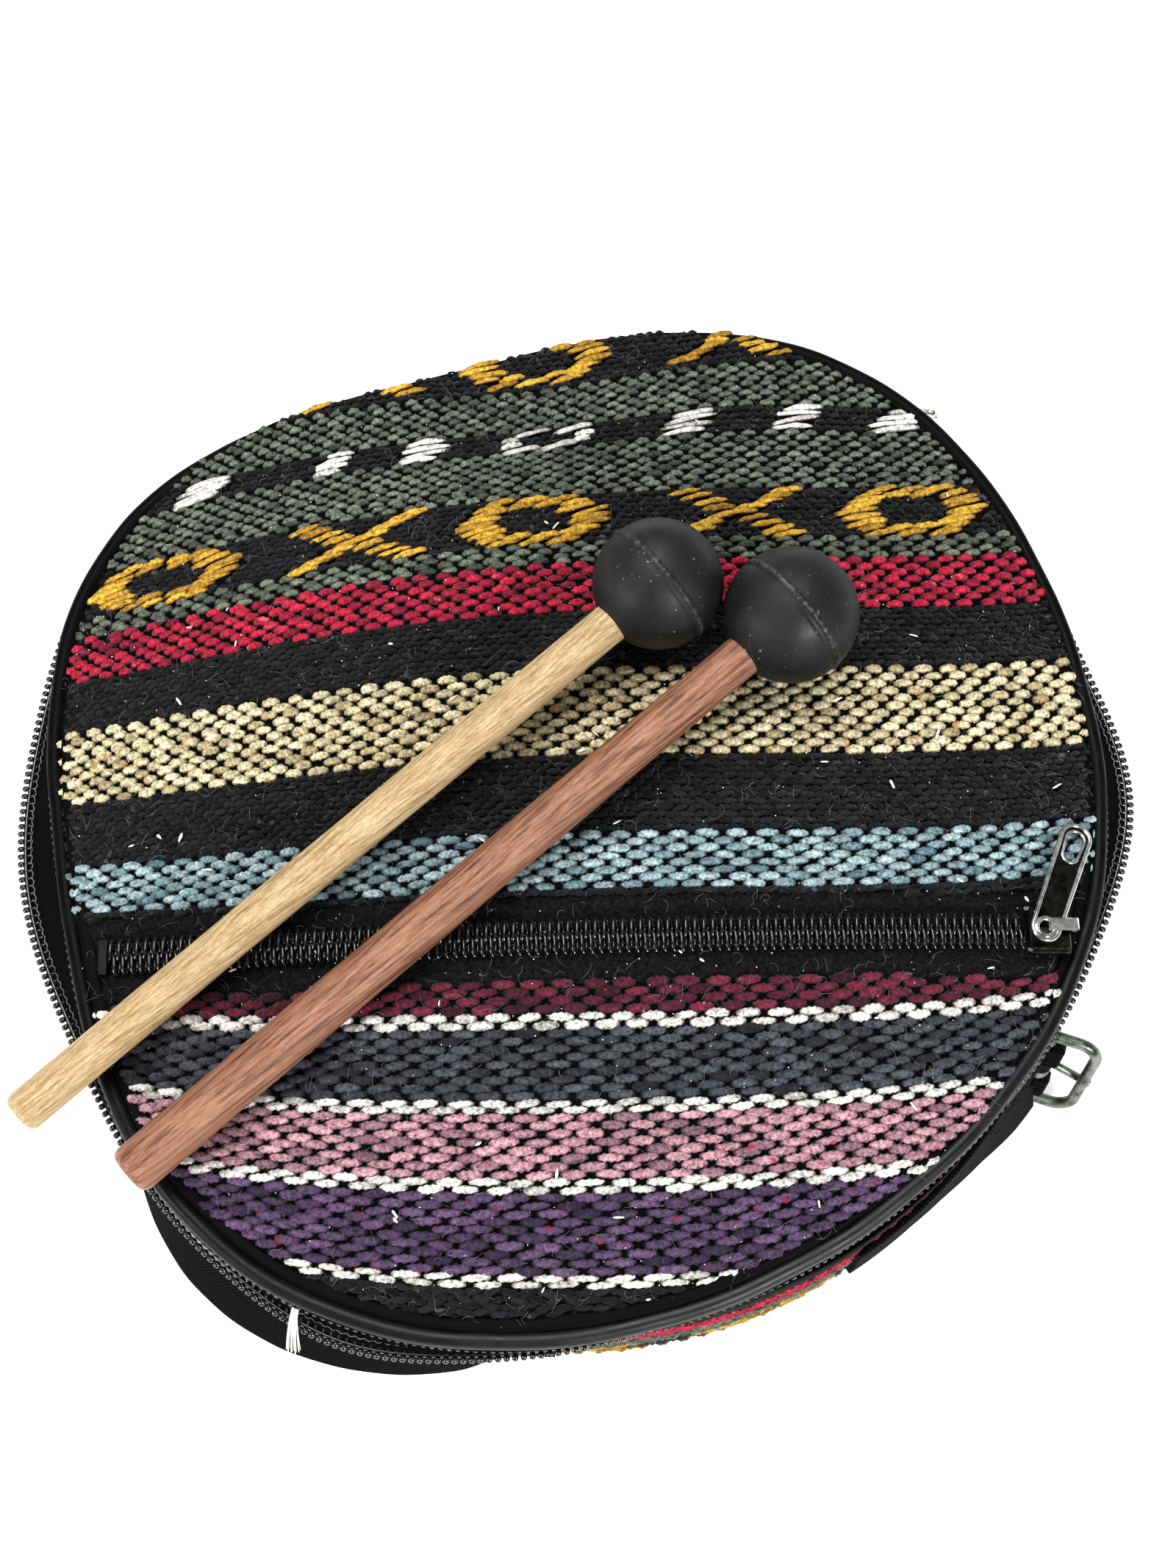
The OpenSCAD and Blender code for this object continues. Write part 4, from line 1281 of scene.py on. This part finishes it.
def buckle_fold():
    """The webbing's end, which runs on and folds over the buckle's bar on both sides of the prong."""
    parts = []
    for way in (-1, 1):
        verts, quads = box_rounded((5.0, 3.2, 7.6), (0.7, 0, 5.5 * way), 1.2)
        for angle, axis in ((-86, 2), (16.5, 1), (68, 2)):
            c, s = cosd(angle), sind(angle)
            x, y, z = verts.T
            turned = [x * c - y * s, x * s + y * c, z] if axis == 2 else [x * c + z * s, y, z * c - x * s]
            verts = np.stack(turned, -1)
        parts.append((verts + BAR, quads))
        near, far = sorted((1.7 * way, 9.3 * way))
        ring = [(near, 0.5), (near + 0.3, STRAP_HALF), (far - 0.3, STRAP_HALF), (far, 0.5),
                (far, -0.5), (far - 0.3, -STRAP_HALF), (near + 0.3, -STRAP_HALF), (near, -0.5)]
        end_angle, end_r = BUCKLE_END[-1]
        outward = ring_points(end_angle, 1, 0)
        loft = []
        for share in np.linspace(0, 1, 6):
            for w, thick in ring:
                z = (STRAP_LOW + STRAP_HIGH) / 2 + w
                cut_end = outward * (end_r - lean_in(end_r, z)) + np.array([0, 0, z])
                on_bar = BAR + w * BAR_WAY
                loft.append(cut_end + share * (on_bar - cut_end) + thick * outward)
        caps = np.array(END_CAP[8])
        quads = np.concatenate([grid_quads(6, 8, False, True), caps, (caps + 40)[:, ::-1]])
        parts.append((np.array(loft), quads))
    verts, quads = joined(parts)
    values = {"run": verts[:, 2], "rise": verts[:, 0]}
    mesh_object("buckle_fold", verts, quads, WEBBING, "case", values, False)


def frayed_threads():
    """Loose black threads where the webbing is folded over the buckle's bar."""
    parts = []
    for k in range(16):
        a = 322 + rng.uniform(0, 9)
        proud, z = rng.uniform(0.7, 0.9), rng.uniform(13, 23)
        middle = np.interp(a, *zip(*BUCKLE_END[-3:]))
        r = middle + proud - lean_in(middle, z)
        start = ring_points(a, r, z)
        heading = math.radians(a + 90 + rng.uniform(-50, 50))
        length = rng.uniform(0.8, 2.0)
        s = np.linspace(0, 1, 8)
        curl = rng.normal(0, 0.4, 3)
        path = start + np.stack([np.cos(heading) * length * s + curl[0] * s * s,
                                 np.sin(heading) * length * s + curl[1] * s * s, curl[2] * s * s], -1)
        parts.append(tube(path, 0.10, 5))
    mesh_object("frayed_threads", *joined(parts), THREAD, "case")


strap("strap_tongue_webbing", TONGUE, "strap_tongue")
strap("strap_buckle_webbing", BUCKLE_END, "strap_buckle_end")
buckle_fold()
frayed_threads()

# ---- loose fibres, lint and dust ----

FIBRE = plain_material("loose_fibre", "#9c9b98", "#6d6c6a", 800, 0.9, 900, 0.02, specular=0.1)
LINT = plain_material("white_lint", "#f6f5f2", "#dddbd6", 900, 0.9, 1500, 0.1, specular=0.1)


def scattered(count):
    """Random places on the lid's cloth."""
    a, r = rng.uniform(0, 2 * np.pi, count), 96 * np.sqrt(rng.uniform(0, 1, count))
    x, y = r * np.cos(a), r * np.sin(a)
    keep = keep_on_cloth(x, y, -POCKET_HALF)
    return x[keep], y[keep]


def fuzz():
    """Fine curled fibres that stand off the yarns, bits of lint and grains of dust."""
    hairs = []
    s = np.linspace(-0.5, 0.5, 6)
    for x, y in zip(*scattered(2600)):
        heading, curl, length = rng.uniform(0, np.pi), rng.normal(0, 0.7), rng.uniform(0.8, 3.2)
        turn = heading + curl * s
        px, py = x + length * s * np.cos(turn), y + length * s * np.sin(turn)
        path = np.stack([px, py, lid_z(px, py, -0.35) + 0.35 * np.cos(np.pi * s)], -1)
        hairs.append(tube(path, 0.026, 3, ends=False))
    mesh_object("loose_fibres", *joined(hairs), FIBRE, "lid")
    bits = []
    for count, longest, widest in ((60, 1.9, 0.55), (620, 0.32, 0.24)):
        x, y = scattered(count)
        n = len(x)
        turn = rng.uniform(0, np.pi, n)
        centre = np.stack([x, y, lid_z(x, y, -0.25)], -1)
        along = np.stack([np.cos(turn), np.sin(turn), 0 * x], -1)
        length, width = longest * rng.uniform(0.4, 1, n), widest * rng.uniform(0.5, 1, n)
        bits.append(yarn_floats(centre, along, STRAIGHT_UP, length, width, rings=5, sides=6, dip=0.1)[:2])
    mesh_object("lint_and_dust", *joined(bits), LINT, "lid")


def white_tuft():
    """A tuft of white sewing thread that hangs over the edge of the lid's zip."""
    threads = []
    s = np.linspace(0, 1, 9)
    for _ in range(26):
        a = 243.0 + rng.normal(0, 0.20) + (1.1 + rng.normal(0, 0.3)) * s
        r = rim(242.0) + 0.2 + (6.0 + rng.normal(0, 0.4)) * s
        z = 45.6 - 4.0 * s ** 2 + 0.5 * np.sin(np.pi * s) + rng.normal(0, 0.15)
        threads.append(tube(ring_points(a, r, z), 0.11, 5))
    mesh_object("white_thread_tuft", *joined(threads), LINT, "lid")


fuzz()
white_tuft()

# ---- CAD shapes that stay, in better materials ----

DRUM_WOOD = plain_material("bent_wood", "#cda26c", "#a87b46", 260, 0.45, 900, 0.1, specular=0.4,
                           stretch=(NO_TURN, (1, 1, 6)))
DRUM_SKIN = plain_material("drum_skin", "#c9ba95", "#b5a47c", 60, 0.55, 700, 0.1, specular=0.3)
BAND = plain_material("red_braid", "#8b302a", "#5f1d1a", 900, 0.85, 1500, 0.3, specular=0.15)
BRASS = chrome_material("tack_heads", "#c9a648", "#94772e", 0.28)

for node, material in (("drum_hoop", DRUM_WOOD), ("drum_skin", DRUM_SKIN), ("skin_band", BAND),
                       ("drum_tacks", BRASS), ("main_slider", CHROME), ("main_pull", CHROME),
                       ("pocket_end_stop", TEETH), ("buckle_frame", NICKEL), ("buckle_prong", NICKEL)):
    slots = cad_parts[node].data.materials
    slots.clear()
    slots.append(material)

# ---- camera, light and floor ----


FLOOR_HALF = 3.0
CAMERA_AT = (0.00277, -0.14247, 0.4451)
CAMERA_TILT = 20
# name, place, size, power, colour
LAMPS = [("left", (-0.66, -0.36, 0.42), 0.26, 3.0, (1, 0.99, 0.97)),
         ("front_right", (0.42, -0.62, 0.52), 0.26, 5.0, (0.98, 0.99, 1)),
         ("top", (-0.1, 0.35, 1.05), 0.7, 9.0, (1, 1, 1))]


def in_scene(name, data):
    thing = bpy.data.objects.new(name, data)
    bpy.context.scene.collection.objects.link(thing)
    return thing


def camera():
    data = bpy.data.cameras.new("camera")
    data.sensor_width, data.lens, data.clip_start = 36, 53.66, 0.01
    thing = in_scene("camera", data)
    thing.location = CAMERA_AT
    thing.rotation_euler = (math.radians(CAMERA_TILT), 0, 0)
    bpy.context.scene.camera = thing


def pale_floor():
    mesh = bpy.data.meshes.new("floor")
    corners = [(x * FLOOR_HALF, y * FLOOR_HALF, 0) for x, y in ((-1, -1), (1, -1), (1, 1), (-1, 1))]
    mesh.from_pydata(corners, [], [(0, 1, 2, 3)])
    pale = Look("pale_floor", roughness=0.9, specular=0.1)
    pale.surface("Base Color", (0.9, 0.9, 0.9, 1))
    pale.surface("Emission Color", (1, 1, 1, 1))
    pale.surface("Emission Strength", 0.45)
    mesh.materials.append(pale.material)
    in_scene("floor", mesh)


def studio():
    scene = bpy.context.scene
    scene.world = bpy.data.worlds.new("soft_studio")
    scene.world.use_nodes = True
    background = scene.world.node_tree.nodes["Background"].inputs
    background["Color"].default_value = (1, 1, 1, 1)
    background["Strength"].default_value = 0.34
    scene.view_settings.view_transform = "Standard"
    scene.view_settings.exposure = 0.30
    scene.view_settings.gamma = 0.88
    for name, place, size, power, colour in LAMPS:
        data = bpy.data.lights.new(name, "AREA")
        data.energy, data.size, data.color = power, size, colour
        lamp = in_scene(name, data)
        lamp.location = place
        x, y, z = place
        lamp.rotation_euler = (math.atan2(math.hypot(x, y), z), 0, math.atan2(-y, -x) - math.pi / 2)


camera()
pale_floor()
studio()
